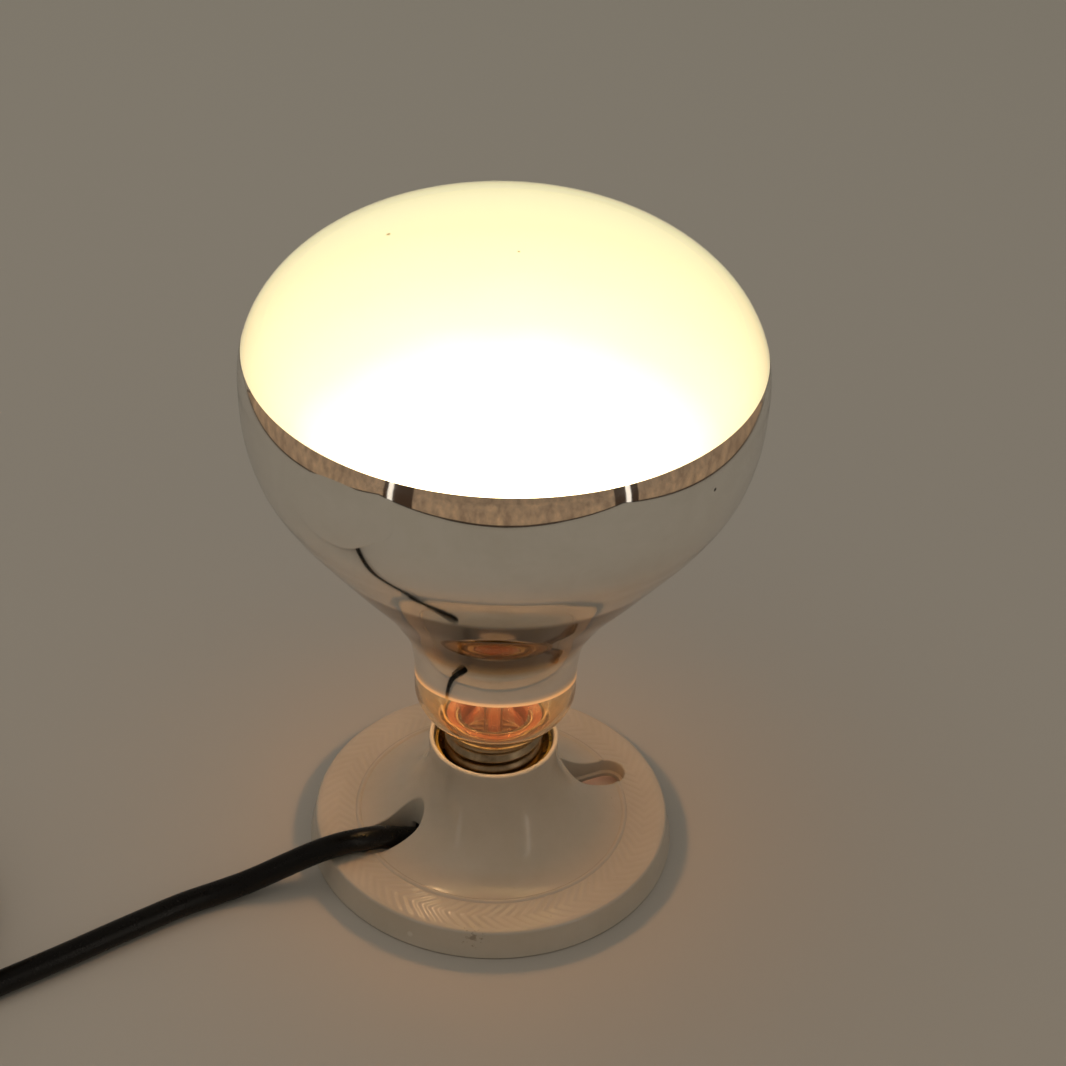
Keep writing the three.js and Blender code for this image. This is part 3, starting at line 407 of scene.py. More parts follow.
tie = {"sheet": 0.8, "width": 9, "turn": 0.4, "corner": 2.6, "edge": 0.3, "gap": 0.3}
leadLow = lead["diameter"] / 2 + lead["rest"]  # height of the lead's middle where it lies on the table
plugMiddle = plug["thickness"] / 2 + lead["rest"]


def risingHeight(x):
    # Two arcs of the least bend radius, one curving up from the table, one curving over the flange
    topX, topZ = lead["overFlange"]
    swing = math.acos(1 - (topZ - leadLow) / (2 * lead["bend"]))
    turnX = topX - lead["bend"] * math.sin(swing)
    flatX = 2 * turnX - topX
    x = np.asarray(x, float)
    offset = np.where(x < turnX, np.maximum(x - flatX, 0), topX - x)
    sag = lead["bend"] - np.sqrt(lead["bend"] ** 2 - offset ** 2)
    return np.where(x < turnX, leadLow + sag, topZ - sag)


def coilFrame():
    # Where the lead enters its coil, the coil's middle, and the entry's direction from there
    heading = unit(np.array(lead["heading"]))
    x, y, _ = lead["tableRoute"][-1]
    entry = (-x, y) + heading * lead["toEntry"]
    centre = entry + np.array([heading[1], -heading[0]]) * lead["coilRadius"]
    return entry, centre, math.atan2(*(entry - centre)[::-1])


def coilPoint(t):
    # Spirals in for half the turns, climbs one layer, and spirals out on top of itself
    _, centre, entryAngle = coilFrame()
    half = lead["turns"] / 2
    eased = np.hypot(np.abs(t - half), lead["turnEase"]) - math.hypot(half, lead["turnEase"])
    radius = lead["coilRadius"] + lead["turnPitch"] * eased
    angle = entryAngle - t * turn
    settle = lead["coilLift"] * smooth(1 - t / lead["settleTurns"])
    height = leadLow + lead["coilLift"] - settle + lead["turnPitch"] * smooth((t - half) * 2 + 0.5)
    return np.stack([centre[0] + radius * np.cos(angle), centre[1] + radius * np.sin(angle), height], -1)


def tailHeading():
    endAngle = coilFrame()[2] - lead["turns"] * turn
    return np.array([math.sin(endAngle), -math.cos(endAngle)])


def tailPoint(distance):
    # Straight on from the last turn, level at first, then down to the plug's height
    start = coilPoint(np.array(lead["turns"]))
    drop = smooth((distance - lead["tailLevel"]) / (lead["tail"] - lead["diameter"] - lead["tailLevel"]))
    flat = start[:2] + np.outer(distance, tailHeading())
    return np.column_stack([flat, start[2] + (plugMiddle - start[2]) * drop])


def leadPath():
    # Places given in the holder, in the slot and on the table, then the coil and the tail
    cut = lead["cut"]
    rise = risingHeight(cut + 1) - risingHeight(cut)
    step = np.array([-1, 0, rise]) / math.hypot(1, rise)
    beside = [np.array([-cut, 0, risingHeight(cut)]) + step * far for far in lead["besideCut"]]
    inside = [[-x, 0, risingHeight(x)] for x in lead["inside"]]
    slot = [[-x, y, risingHeight(x)] for x, y in lead["slotRoute"]]
    table = [[-x, y, leadLow + lift] for x, y, lift in lead["tableRoute"]]
    entry, heading = coilFrame()[0], unit(np.array(lead["heading"]))
    leadIn = [[*(entry - heading * lead["diameter"] * back), leadLow] for back in (1, 0.5)]
    turns = coilPoint(np.linspace(0, lead["turns"], lead["coilPoints"]))
    tail = tailPoint(np.linspace(lead["tailStart"], lead["tail"], lead["tailPoints"]))
    chosen = np.concatenate([inside, beside, slot, table, leadIn, turns, tail])
    return resampled(throughPoints(chosen, 12), lead["spacing"])


def sheathFinish():
    # PVC sheath, extruded: black with a soft satin gleam, a film of dust and faint rings across it
    made, node, feed, place = newFinish("blackPvcSheath", ior=1.5, specularIorLevel=0.28)
    along = node("Attribute", out="Fac", attribute_name="along")
    dust = node("TexNoise", {"Vector": place, "Scale": 1 / (4 * mm), "Detail": 4.0, "Roughness": 0.65})
    grain = node("TexNoise", {"Vector": place, "Scale": 1 / (0.7 * mm)})
    wave = node("Math", [along, turn / lead["drawLine"]], operation="MULTIPLY")
    waver = node("Math", [wave], operation="SINE")
    height = node("Math", [waver, 0.12, grain], operation="MULTIPLY_ADD")
    feed(
        baseColor=node("ValToRGB", [dust], stops=[(0.35, "#060505"), (0.62, "#0a0908"), (0.8, "#141210")]),
        roughness=node("MapRange", [dust, 0.0, 1.0, 0.2, 0.36]),
        normal=node("Bump", {"Height": height, "Distance": 0.02 * mm}),
    )
    return made


def pinFinish():
    # Nickel-plated brass pins, each with a moulded black sleeve nearest the plug
    made, node, feed, place = newFinish("sleevedNickelPin")
    along = node("Attribute", out="Fac", attribute_name="along")
    bare = node("MapRange", [along, plug["sleeve"], plug["sleeve"] + 0.1])
    rub = node("TexNoise", {"Vector": place, "Scale": 1 / (1.5 * mm), "Detail": 5.0})
    feed(
        baseColor=node("ValToRGB", [bare], stops=[(0, "#171615"), (1, "#c9c6bf")]),
        metallic=bare,
        roughness=node("MapRange", [rub, 0.0, 1.0, 0.18, 0.42]),
    )
    return made


def buildPlug(plastic):
    # A grooved relief, a body with rounded edges and two round-ended pins, in a row on from the lead's tail
    heading = math.atan2(*tailHeading()[::-1])
    origin = (*tailPoint(np.array([lead["tail"]]))[0, :2], plugMiddle)
    gap = plug["gap"]
    reliefEnd = gap + plug["relief"]
    far = np.linspace(gap, reliefEnd, 12 * plug["grooves"] + 1)
    share = (far - gap) / plug["relief"]
    ring = smooth(0.5 - 1.4 * np.cos(share * turn * plug["grooves"]))
    radius = np.interp(share, (0, 1), plug["reliefRadii"]) - plug["grooveDepth"] * ring
    line = np.stack([far, 0 * far, 0 * far], 1)
    relief = tube(placed(line, origin, heading), radius, 32)
    start, end = reliefEnd + gap, reliefEnd + gap + plug["length"]
    half, back, corner, shoulder = plug["width"] / 2, plug["back"], plug["corner"], plug["shoulder"]
    outline = rounded([
        (start, -back, corner), (end - plug["nose"], -half, shoulder), (end, -half, corner),
        (end, half, corner), (end - plug["nose"], half, shoulder), (start, back, corner),
    ], 8)
    body = plate(outline, -plug["thickness"] / 2, plug["thickness"] / 2, plug["edge"], 6)
    made = [
        addPiece("plugRelief", relief, plastic, "holder", "plug_moulding", "plug_relief"),
        addPiece("plugBody", skin(placed(body, origin, heading), False), plastic, "holder", "plug_moulding",
                 "plug_body"),
    ]
    metal = pinFinish()
    tip, shaft = plug["pinRadius"], plug["pinLength"] - plug["pinRadius"]
    far = np.concatenate([np.linspace(0, shaft, 20), plug["pinLength"] - tip * 0.5 ** np.arange(1, 5)])
    radii = np.sqrt(tip ** 2 - np.clip(far - shaft, 0, tip) ** 2)
    for number, side in ((1, -1), (2, 1)):
        line = np.stack([end + gap + far, 0 * far + side * plug["pinPitch"] / 2, 0 * far], 1)
        pin = tube(placed(line, origin, heading), radii, 24, endRound=0.1)
        made.append(addPiece(f"plugPin{number}", pin, metal, "holder", "plug_nickel", f"plug_pin_{number}"))
    return made


def buildTie(strap):
    # A strap carried round the coil's section: a rounded loop in an upright plane through the coil's middle
    _, centre, entryAngle = coilFrame()
    angle = entryAngle + tie["turn"] * turn
    out = lead["diameter"] / 2 + tie["gap"] + tie["sheet"] / 2
    near = lead["coilRadius"] - lead["turnPitch"] * lead["turns"] / 2 - out
    far = lead["coilRadius"] + lead["turnPitch"] / 2 + out
    low = leadLow + lead["coilLift"] - out
    high = leadLow + lead["coilLift"] + lead["turnPitch"] + out
    loop = roundedBox(near, far, low, high, tie["corner"], 6)
    across, thick = tie["width"] / 2, tie["sheet"] / 2
    section = roundedBox(-across, across, -thick, thick, tie["edge"], 3)
    ring = loop[:, None] + outwards(loop)[:, None] * section[None, :, 1:]
    sideways = np.broadcast_to(section[None, :, :1], (*ring.shape[:2], 1))
    points = placed(np.concatenate([ring[..., :1], sideways, ring[..., 1:]], -1), (*centre, 0), angle)
    return addPiece("coilStrap", skin(points), strap, "holder", "tie_strap", "coil_tie")


def buildLead():
    path, length = leadPath()
    piece = addPiece("mainsLead", tube(path, lead["diameter"] / 2, lead["sides"]), sheathFinish(), "holder",
                     "black_sheath", "cord_inner", "cord_run", "cord_coil", "cord_tail", crease=60)
    # Moulded PVC: black, duller than the sheath, with the fine texture of a sparked mould
    plastic = mottled("mouldedPvc", [(0.3, "#131211"), (0.7, "#1b1a18")], 6, (0.4, 0.55), 0.35, 0.02, ior=1.5)
    # Woven hook-and-loop strap: dull black with a coarse nap
    strap = mottled("wovenStrap", [(0.3, "#121214"), (0.7, "#232326")], 0.6, (0.75, 0.95), 0.3, 0.12)
    onLead = [buildTie(strap), *buildPlug(plastic)]
    print(f"lead laid: {length[-1]:.0f} mm")


# Holder: a moulded flange with a herringbone ring, a concave flare and a thin collar, hollow underneath
footRadius, _, holderTop = cadSize("holder_body")
holder = {
    "columns": 540,
    "footRadius": footRadius,
    "height": holderTop,
    "flangeRadius": 47.5,
    "flangeHeight": 7.9,
    "flangeEdge": 0.9,
    "footLand": 3.5,
    "rimWall": 2.0,
    "flareTop": 30.0,
    "flareReach": 36.0,
    "collarRadius": 17.1,
    "collarFoot": 31.5,
    "wellRadius": 15.8,
    "wellFloor": 9.8,
    "wellWall": 18.4,
    "wiringRoom": 7.2,
    "wall": 2.6,
    "beadHalf": 0.75,
    "beadHeight": 0.4,
    "beadRadius": 36.0,
    "ringRadii": (36.8, 46.4),
    "ringMiddle": 41.5,
    "chevrons": 90,
    "ridge": 0.17,
    "slant": 1.05,  # how far a ridge runs round for each millimetre outwards
}
slotHole = {
    "inner": 20.3,
    "outer": 39.8,
    "width": 9.6,
    "ledge": 0.9,
    "lipFoot": 2.6,
    "lipTop": 4.0,
    "boss": 0.9,
    "edge": 0.55,  # rounding of its top edge
    "notch": 3.6,  # half its width
    "columns": 42,  # of the holder's columns that the slot's own grid takes the place of
    "rows": 44,
    "topRadii": (42.5, 18.5),
    "underRadii": (18.9, 43.4),
}


def herringbone(r, angle):
    # Ridges that run round as they go out from the ring's middle: 0 in a groove, 1 on a ridge
    shift = holder["slant"] * np.abs(r - holder["ringMiddle"]) / holder["ringMiddle"]
    wave = 0.5 + 0.5 * np.cos(holder["chevrons"] * (angle - shift))
    inner, outer = holder["ringRadii"]
    return wave * smooth((r - inner) / 0.5) * smooth((outer - r) / 0.5)


def underHeight(r, depth=holder["wall"]):
    # A quarter of an ellipse, from level at the flare's reach to upright at the collar, a wall's depth down
    reach = holder["flareReach"] - holder["collarRadius"] + depth
    share = np.clip((holder["flareReach"] - r) / reach, 0, 1)
    foot = holder["flangeHeight"] - depth
    return holder["flareTop"] - (holder["flareTop"] - foot) * np.sqrt(1 - share ** 2)


def topHeight(r):
    # The flare with the bead on it: 1 - x^2 across the bead
    bead = 1 - ((r - holder["beadRadius"]) / holder["beadHalf"]) ** 2
    return underHeight(r, 0) + holder["beadHeight"] * np.clip(bead, 0, 1)


def heightLine(start, end, count, heightOf):
    # Points of a height line between two radii, an even distance apart
    r = np.linspace(start, end, 2000)
    line, _ = resampled(np.stack([r, heightOf(r)], 1), 0.02)
    return line[np.linspace(0, len(line) - 1, count).round().astype(int)]


def holderRows():
    # The outline from the middle of the underside, out, up, and back in to the middle of the well's floor,
    # with the numbers of three rows: the slot's window underneath, the top, and the window on top
    h = holder
    footEnd, flange, wall, room = h["footRadius"], h["flangeRadius"], h["wellWall"], h["wiringRoom"]
    well, floor, edge = h["wellRadius"], h["wellFloor"], h["flangeEdge"]
    land, underFlat = footEnd - h["footLand"], h["flangeHeight"] - h["wall"]
    under = [(0, room), (9, room), (wall - 0.6, room), (wall, room + 0.6),
             (wall, underHeight(wall) - 0.4)]
    foot = [(flange - h["rimWall"] - 1, underFlat), (land, underFlat - 0.9), (land, 0.3), (land + 0.3, 0),
            (footEnd - 0.8, 0), (footEnd - 0.3, 0.15), (footEnd - 0.08, 0.55)]
    slope = (footEnd - flange) / (h["flangeHeight"] - edge)
    side = [(footEnd - slope * z, z) for z in np.linspace(1.2, h["flangeHeight"] - edge - 0.3, 5)]
    a = np.linspace(0, math.pi / 2, 6)
    shoulder = np.stack([flange - edge + edge * np.cos(a), h["flangeHeight"] - edge + edge * np.sin(a)], 1)
    windowOut, windowIn = slotHole["topRadii"]
    beadOut, beadIn = h["beadRadius"] + h["beadHalf"], h["beadRadius"] - h["beadHalf"]
    rim = (h["collarRadius"] - well) / 2
    a = np.linspace(0, math.pi, 9)
    lip = np.stack([h["collarRadius"] - rim + rim * np.cos(a), h["height"] - rim + rim * np.sin(a)], 1)
    stretches = [
        under, heightLine(*slotHole["underRadii"], slotHole["rows"], underHeight), foot, side, shoulder,
        heightLine(h["ringRadii"][1] - 0.05, windowOut, 10, topHeight)[:-1],
        heightLine(windowOut, beadOut, 15, topHeight)[:-1], heightLine(beadOut, beadIn, 7, topHeight)[:-1],
        heightLine(beadIn, windowIn, slotHole["rows"] - 20, topHeight),
        heightLine(windowIn, h["collarRadius"] + 0.01, 8, topHeight)[1:],
        [(h["collarRadius"], h["collarFoot"])], lip,
        [(well, 26), (well, 18), (well, floor + 0.5), (well - 0.5, floor), (8, floor), (0, floor)],
    ]
    starts = np.cumsum([0] + [len(part) for part in stretches])
    return np.concatenate(stretches), starts[1], starts[4], starts[6]


def slotRings(side, topLoop, underLoop):
    # Rings from the loop of points round the slot's place on top, in to the slot's rounded edge, down its
    # wall, over the ledge and lip, and out again under the holder. The slot is all points within half its
    # width of a line, and the edge is drawn in by edge (1 - cos(a)) where it is edge (1 - sin(a)) down.
    half = slotHole["width"] / 2
    spine = np.zeros_like(topLoop)
    spine[:, 0] = side * np.clip(side * topLoop[:, 0], slotHole["inner"] + half, slotHole["outer"] - half)
    outward = unit(topLoop - spine)
    edge, ledge, boss = slotHole["edge"], -slotHole["ledge"], slotHole["boss"]
    top, foot = slotHole["lipTop"], slotHole["lipFoot"]

    def ringAt(offset):
        return spine + outward * (half + offset)

    def onTop(flat, drop=0.0):
        radius, angle = np.hypot(*flat.T), np.arctan2(flat[:, 1], flat[:, 0])
        ridge = herringbone(radius, angle)
        return np.column_stack([flat, topHeight(radius) + holder["ridge"] * ridge - drop, ridge])

    def under(flat, drop=0.0):
        return np.column_stack([flat, underHeight(np.hypot(*flat.T)) - drop, np.zeros(len(flat))])

    rings = [onTop(topLoop + (ringAt(edge) - topLoop) * t) for t in np.linspace(0, 1, 15)[1:-1]]
    for a in np.linspace(math.pi / 2, 0, 6):
        rings.append(onTop(ringAt(edge * (1 - math.cos(a))), edge * (1 - math.sin(a))))
    wall = rings[-1]
    # Distance from the wall, height, and share of the way back up to the wall's top edge
    profile = [
        (0, top + 0.2, 0.67), (0, top + 0.2, 0.34), (0, top + 0.2, 0), (-0.2, top, 0),
        (ledge + 0.15, top, 0), (ledge, top - 0.15, 0), (ledge, foot + 0.15, 0), (ledge + 0.15, foot, 0),
        (boss - 0.2, foot, 0), (boss, foot + 0.2, 0),
    ]
    for offset, z, share in profile:
        height = z + (wall[:, 2] - z) * share
        rings.append(np.column_stack([ringAt(offset), height, 0 * height]))
    rings.append(under(ringAt(boss), 0.2))
    rings += [under(ringAt(boss) + (underLoop - ringAt(boss)) * t) for t in np.linspace(0.02, 0.88, 7)]
    return np.array(rings)


def holderMesh():
    # The outline turned about Z, with the slots' own rings in two windows cut into its grid
    rows, underStart, topRow, windowRow = holderRows()
    columns, count = holder["columns"], slotHole["rows"]
    half = slotHole["columns"] // 2
    angle = roundAngles(columns, -turn / 4)
    r, z = rows.T
    ridge = herringbone(r, angle) * (np.arange(len(r)) >= topRow)
    body = np.broadcast_arrays(r * np.cos(angle), r * np.sin(angle), z + holder["ridge"] * ridge, ridge)
    parts = [np.stack(body, -1)]
    index = np.arange(columns * len(r)).reshape(columns, -1)
    index[:, r == 0] = index[:1, r == 0]
    squares = quadsOf(np.concatenate([index, index[:1]])).reshape(columns, -1, 4)
    keep = np.ones(squares.shape[:2], bool)
    faces = []
    total = index.size
    for side, middle in ((1, columns // 4), (-1, 3 * columns // 4)):
        first, last = middle - half, middle + half
        loops = []
        for start, step in ((windowRow, 1), (underStart + count - 1, -1)):
            # Round the window, anticlockwise from above: outer row, one side, inner row, the other side
            line = start + step * np.arange(count)
            loops.append(np.concatenate([
                index[first:last, line[0]], index[last, line[:-1]],
                index[last:first:-1, line[-1]], index[first, line[:0:-1]],
            ]))
            keep[first:last, line.min():line.max()] = False
        flat = parts[0][..., :2].reshape(-1, 2)
        rings = slotRings(side, flat[loops[0]], flat[loops[1]])
        table = np.arange(rings[..., 0].size).reshape(rings.shape[:2]) + total
        table = np.concatenate([loops[0][None], table, loops[1][None]])
        faces.append(quadsOf(np.concatenate([table, table[:, :1]], 1).T))
        parts.append(rings)
        total += rings[..., 0].size
    points = np.concatenate([part.reshape(-1, 4) for part in parts])
    return makeMesh(points[:, :3], np.concatenate([*faces, squares[keep]]), {"ridge": points[:, 3]})


marks = {
    "stains": (-23.4, -41.5, 6.3),  # brown scuffs on the front of the rim
    "stainReach": 5.0,
    "chip": (-36.8, -31.2, 3.4),
    "chipReach": (0.54, 0.9),
    "crownSpecks": [(-22.6, 16.3, 179.1, 0.7), (-0.58, -6.6, 182.2, 0.4)],
    "mirrorSpeck": (25.5, -56.0, 143.2, 0.6),
}


def holderFinish():
    # Urea moulding: a warm white that yellows with heat, glossy, with soft orange peel, paler ridges, a few
    # brown scuffs and a chip
    made, node, feed, place = newFinish("ureaMoulding", ior=1.52)
    cloud = node("TexNoise", {"Vector": place, "Scale": 1 / (14 * mm), "Detail": 5.0, "Roughness": 0.62})
    speckle = node("TexNoise", {"Vector": place, "Scale": 1 / (1.1 * mm), "Detail": 3.0})
    peel = node("TexNoise", {"Vector": place, "Scale": 1 / (2.2 * mm)})
    ridge = node("Attribute", out="Fac", attribute_name="ridge")
    near = nearness(node, place, marks["stains"], 0.0, marks["stainReach"], 0.3)
    scuff = node("Math", [speckle, near], operation="ADD")
    layers = [
        (node("MapRange", [ridge, 0.0, 1.0, 0.0, 0.1]), "#e3d5bf"),
        (node("MapRange", [scuff, 0.72, 0.86, 0.0, 0.5]), "#6e5a45"),
        (nearness(node, place, marks["chip"], *marks["chipReach"], 0.3), "#e9e2d4"),
    ]
    tone = node("ValToRGB", [cloud], stops=[(0.32, "#beae99"), (0.5, "#c2b29e"), (0.7, "#c6b6a2")])
    for share, colour in layers:
        tone = node("Mix", {"Factor": share, 6: tone, 7: linear(colour)}, 2, data_type="RGBA")
    feed(
        baseColor=tone,
        roughness=node("MapRange", [cloud, 0.3, 0.7, 0.11, 0.19]),
        normal=node("Bump", {"Height": peel, "Distance": 0.03 * mm}),
    )
    return made


def carved(mesh, low, high):
    # The mesh less a box between two corners
    (x0, y0, z0), (x1, y1, z1) = low, high
    box = makeMesh(
        np.array([(x, y, z) for z in (z0, z1) for x, y in ((x0, y0), (x1, y0), (x1, y1), (x0, y1))], float),
        np.array([(0, 3, 2, 1), (4, 5, 6, 7), (0, 1, 5, 4), (1, 2, 6, 5), (2, 3, 7, 6), (3, 0, 4, 7)]),
    )
    whole, tool = show("uncut", mesh), show("carver", box)
    cut = whole.modifiers.new("cut", "BOOLEAN")
    cut.operation = "DIFFERENCE"
    cut.solver = "EXACT"
    cut.object = tool
    result = bpy.data.meshes.new_from_object(whole.evaluated_get(bpy.context.evaluated_depsgraph_get()))
    for part in (whole, tool):
        bpy.data.objects.remove(part)
    return result


def buildHolder():
    # The lead comes up from under the well's floor through a notch in the slot's wall
    notch = slotHole["notch"]
    low = (-slotHole["inner"] - notch, -notch, -1)
    mesh = carved(holderMesh(), low, (-holder["wellRadius"], notch, holder["wiringRoom"]))
    addPiece("holderMoulding", mesh, holderFinish(), "holder", "holder_moulding", "holder_body", crease=40)
    print(f"holder moulded: {len(mesh.polygons)} faces")


# Bulb glass, with the mirror and the frost on its inside
capTop = cadSize("cap_shell")[2]
_, glassLow, glassTop = cadSize("bulb_glass")
bulb = {
    "radius": 62.7,
    "top": glassTop,
    "rim": capTop,
    "foot": capTop + 0.3,
    "jointRadius": 13.5,
    "neckRadius": 21.05,
    "bowlHeight": 10.7,
    "bowlFullness": 0.55,
    "neckLength": 5,
    "widest": capTop + 106.2,
    "squareness": 2.144,
    # Of the way from the neck out to the widest place, and up to it
    "shares": [
        [0, 0], [0.036, 0.133], [0.209, 0.289], [0.514, 0.478], [0.843, 0.69], [0.938, 0.779], [0.988, 0.88],
        [1, 1],
    ],
    "wall": 1.0,
    "tailRadius": 9.6,
    "tailFoot": glassLow,
    "mirrorTop": 153.88,
    "coat": 0.3,
    "coatBite": 0.03,  # into the glass, so that no air film shows
    "edgeHeight": 55.2,  # of the mirror's lower edge, which the coating left slanted
    "edgeSlant": 5.5,
    "edgeTowards": 244.7,  # degrees from X, where the edge is highest
    "slantEnd": 75.0,  # height from which the mirror's rows are level
    # heights of the painted shade ring, a painted reflection of the shaded holder below
    "burntRing": (72.5, 110),
    "litNeck": (40, 62),  # heights between which the glass's glow fades
    "leak": 2.8,  # how far light leaks up the mirror's lower edge
    "hottest": (-20, -46, 150),
    "glowReach": (10, 120),
    "glowStretch": 1.6,
    "columns": 192,
    "mirrorColumns": 256,
    "outerSpacing": 1.25,
    "innerSpacing": 2.4,
}


def bulbLine():
    # From the joint with the cap up to the middle of the crown: start (1 - t)^2 + 2 steer t (1 - t) + end t^2
    # for the bowl, a curve through the reflector's shares, and |r / a|^n + |z / b|^n = 1 for the crown
    b = bulb
    bowlTop = b["foot"] + b["bowlHeight"]
    neckTop = bowlTop + b["neckLength"]
    t = np.linspace(0, 1, 24)[:, None]
    start = np.array([b["jointRadius"], b["foot"]])
    steer = np.array([b["neckRadius"], b["foot"] + b["bowlHeight"] * b["bowlFullness"]])
    end = np.array([b["neckRadius"], bowlTop])
    bowl = start * (1 - t) ** 2 + steer * 2 * t * (1 - t) + end * t ** 2
    shares = throughPoints(b["shares"], 20, before=np.array([0.036, -0.133]), after=np.array([0.988, 1.12]))
    span = (b["radius"] - b["neckRadius"], b["widest"] - neckTop)
    reflector = np.array([b["neckRadius"], neckTop]) + shares * span
    angle = np.linspace(0, math.pi / 2, 120)[1:]
    power = 2 / b["squareness"]
    crown = np.stack([
        b["radius"] * np.clip(np.cos(angle), 0, 1) ** power,
        b["widest"] + (b["top"] - b["widest"]) * np.sin(angle) ** power,
    ], 1)
    crown[-1, 0] = 0
    return np.concatenate([bowl, reflector, crown])


def marked(node, place, specks, colour, base):
    # Dark specks of dust or burst coating at known places
    for *spot, reach in specks:
        inside = nearness(node, place, spot, reach * 0.5, reach)
        base = node("Mix", {"Factor": inside, 6: base, 7: linear(colour)}, 2, data_type="RGBA")
    return base


def letLightThrough(made, node):
    # Lamps shine through glass unbent: the shader is swapped for a clear one on shadow rays
    nodes = made.node_tree.nodes
    clear = node("BsdfTransparent", [linear("#fbf9f7")])
    shadow = node("LightPath", out="Is Shadow Ray")
    both = node("MixShader", [shadow, nodes["Principled BSDF"].outputs[0], clear])
    fill(nodes["Material Output"], {"Surface": both})


def glassFinish():
    # Blown soda-lime glass: clear and polished, a trace of handling grease, and below the mirror a faint
    # amber smoke and a painted warm glow, standing in for the filament's light coming down the neck
    made, node, feed, place = newFinish("blownGlass", transmissionWeight=1.0, ior=1.5, emissionStrength=1.0)
    grease = node("TexNoise", {"Vector": place, "Scale": 1 / (18 * mm), "Detail": 6.0, "Roughness": 0.7})
    smoke = [(0, "#fbe6c6"), (0.8, "#fbe6c6"), (1, "#ffffff")]
    glow = [(0, "#1c1008"), (0.4, "#24170b"), (0.8, "#1e140a"), (1, "#000000")]
    feed(
        baseColor=toneBetween(node, place, *bulb["litNeck"], smoke),
        roughness=node("MapRange", [grease, 0.5, 0.8, 0.0, 0.05]),
        # Painted glow: emission in the glass below the mirror, for the filament's light shining through the
        # neck
        emissionColor=toneBetween(node, place, *bulb["litNeck"], glow),
    )
    letLightThrough(made, node)
    return made


def mirrorFinish():
    # Aluminium evaporated on glass: a bright neutral mirror with a painted dark brown ring above the neck, a
    # painted reflection of the shaded holder below it, and a painted glow along its lower edge for light
    # leaking past the coating
    made, node, feed, place = newFinish("evaporatedAluminium", metallic=1.0, emissionStrength=1.0)
    cloud = node("TexNoise", {"Vector": place, "Scale": 1 / (25 * mm), "Detail": 6.0, "Roughness": 0.7})
    tone = node("ValToRGB", [cloud], stops=[(0.3, "#f3f0ea"), (0.55, "#faf8f4"), (0.75, "#f5f2ea")])
    # Painted shade: a dark brown ring where the mirror reflects the shaded flare and flange below
    ring = toneBetween(node, place, *bulb["burntRing"], [
        (0, "#ffffff"), (0.09, "#e6c492"), (0.2, "#8f6d4c"), (0.4, "#62473a"), (0.8, "#685041"),
        (0.93, "#7c6454"), (1, "#ffffff"),
    ])
    ringWithPaintedShade = node("Mix", {"Factor": 1.0, 6: tone, 7: ring}, 2, data_type="RGBA", blend_type="MULTIPLY")
    # Painted glow along the mirror's lower edge, for light leaking past the coating
    leak = node("MapRange", [node("Attribute", out="Fac", attribute_name="fromEdge"), 0.0, bulb["leak"]])
    feed(
        baseColor=marked(node, place, [marks["mirrorSpeck"]], "#1c1713", ringWithPaintedShade),
        roughness=node("MapRange", [cloud, 0.3, 0.75, 0.015, 0.05]),
        emissionColor=node("ValToRGB", [leak], stops=[
            (0, "#cf9150"), (0.28, "#b97c42"), (0.5, "#503117"), (1, "#000000"),
        ]),
    )
    return made


def frostFinish():
    # Silica coating lit from behind: cream, white where the filament is nearest, with a few specks.
    # The glow falls off with the distance from the hottest place, heights counting for more
    made, node, feed, place = newFinish("silicaFrost", baseColor=linear("#c9bfa8"), roughness=0.85,
                                        emissionStrength=6.0)
    stretch = np.array([1, 1, bulb["glowStretch"]])
    stretched = node("VectorMath", [place, stretch], operation="MULTIPLY")
    hot = node("VectorMath", [stretched, stretch * bulb["hottest"] * mm], "Value", operation="DISTANCE")
    level = node("MapRange", [hot, *(reach * mm for reach in bulb["glowReach"])])
    cloud = node("TexNoise", {"Vector": place, "Scale": 1 / (22 * mm), "Detail": 3.0})
    uneven = node("Math", [cloud, 0.04, level], operation="MULTIPLY_ADD")
    glow = node("ValToRGB", [uneven], stops=[
        (0.13, "#ffebbc"), (0.26, "#a3977a"), (0.38, "#82785e"), (0.5, "#776e55"), (0.62, "#706850"),
        (0.72, "#6b6852"), (0.95, "#6e6b53"),
    ])
    feed(emissionColor=marked(node, place, marks["crownSpecks"], "#3a3018", glow))
    return made


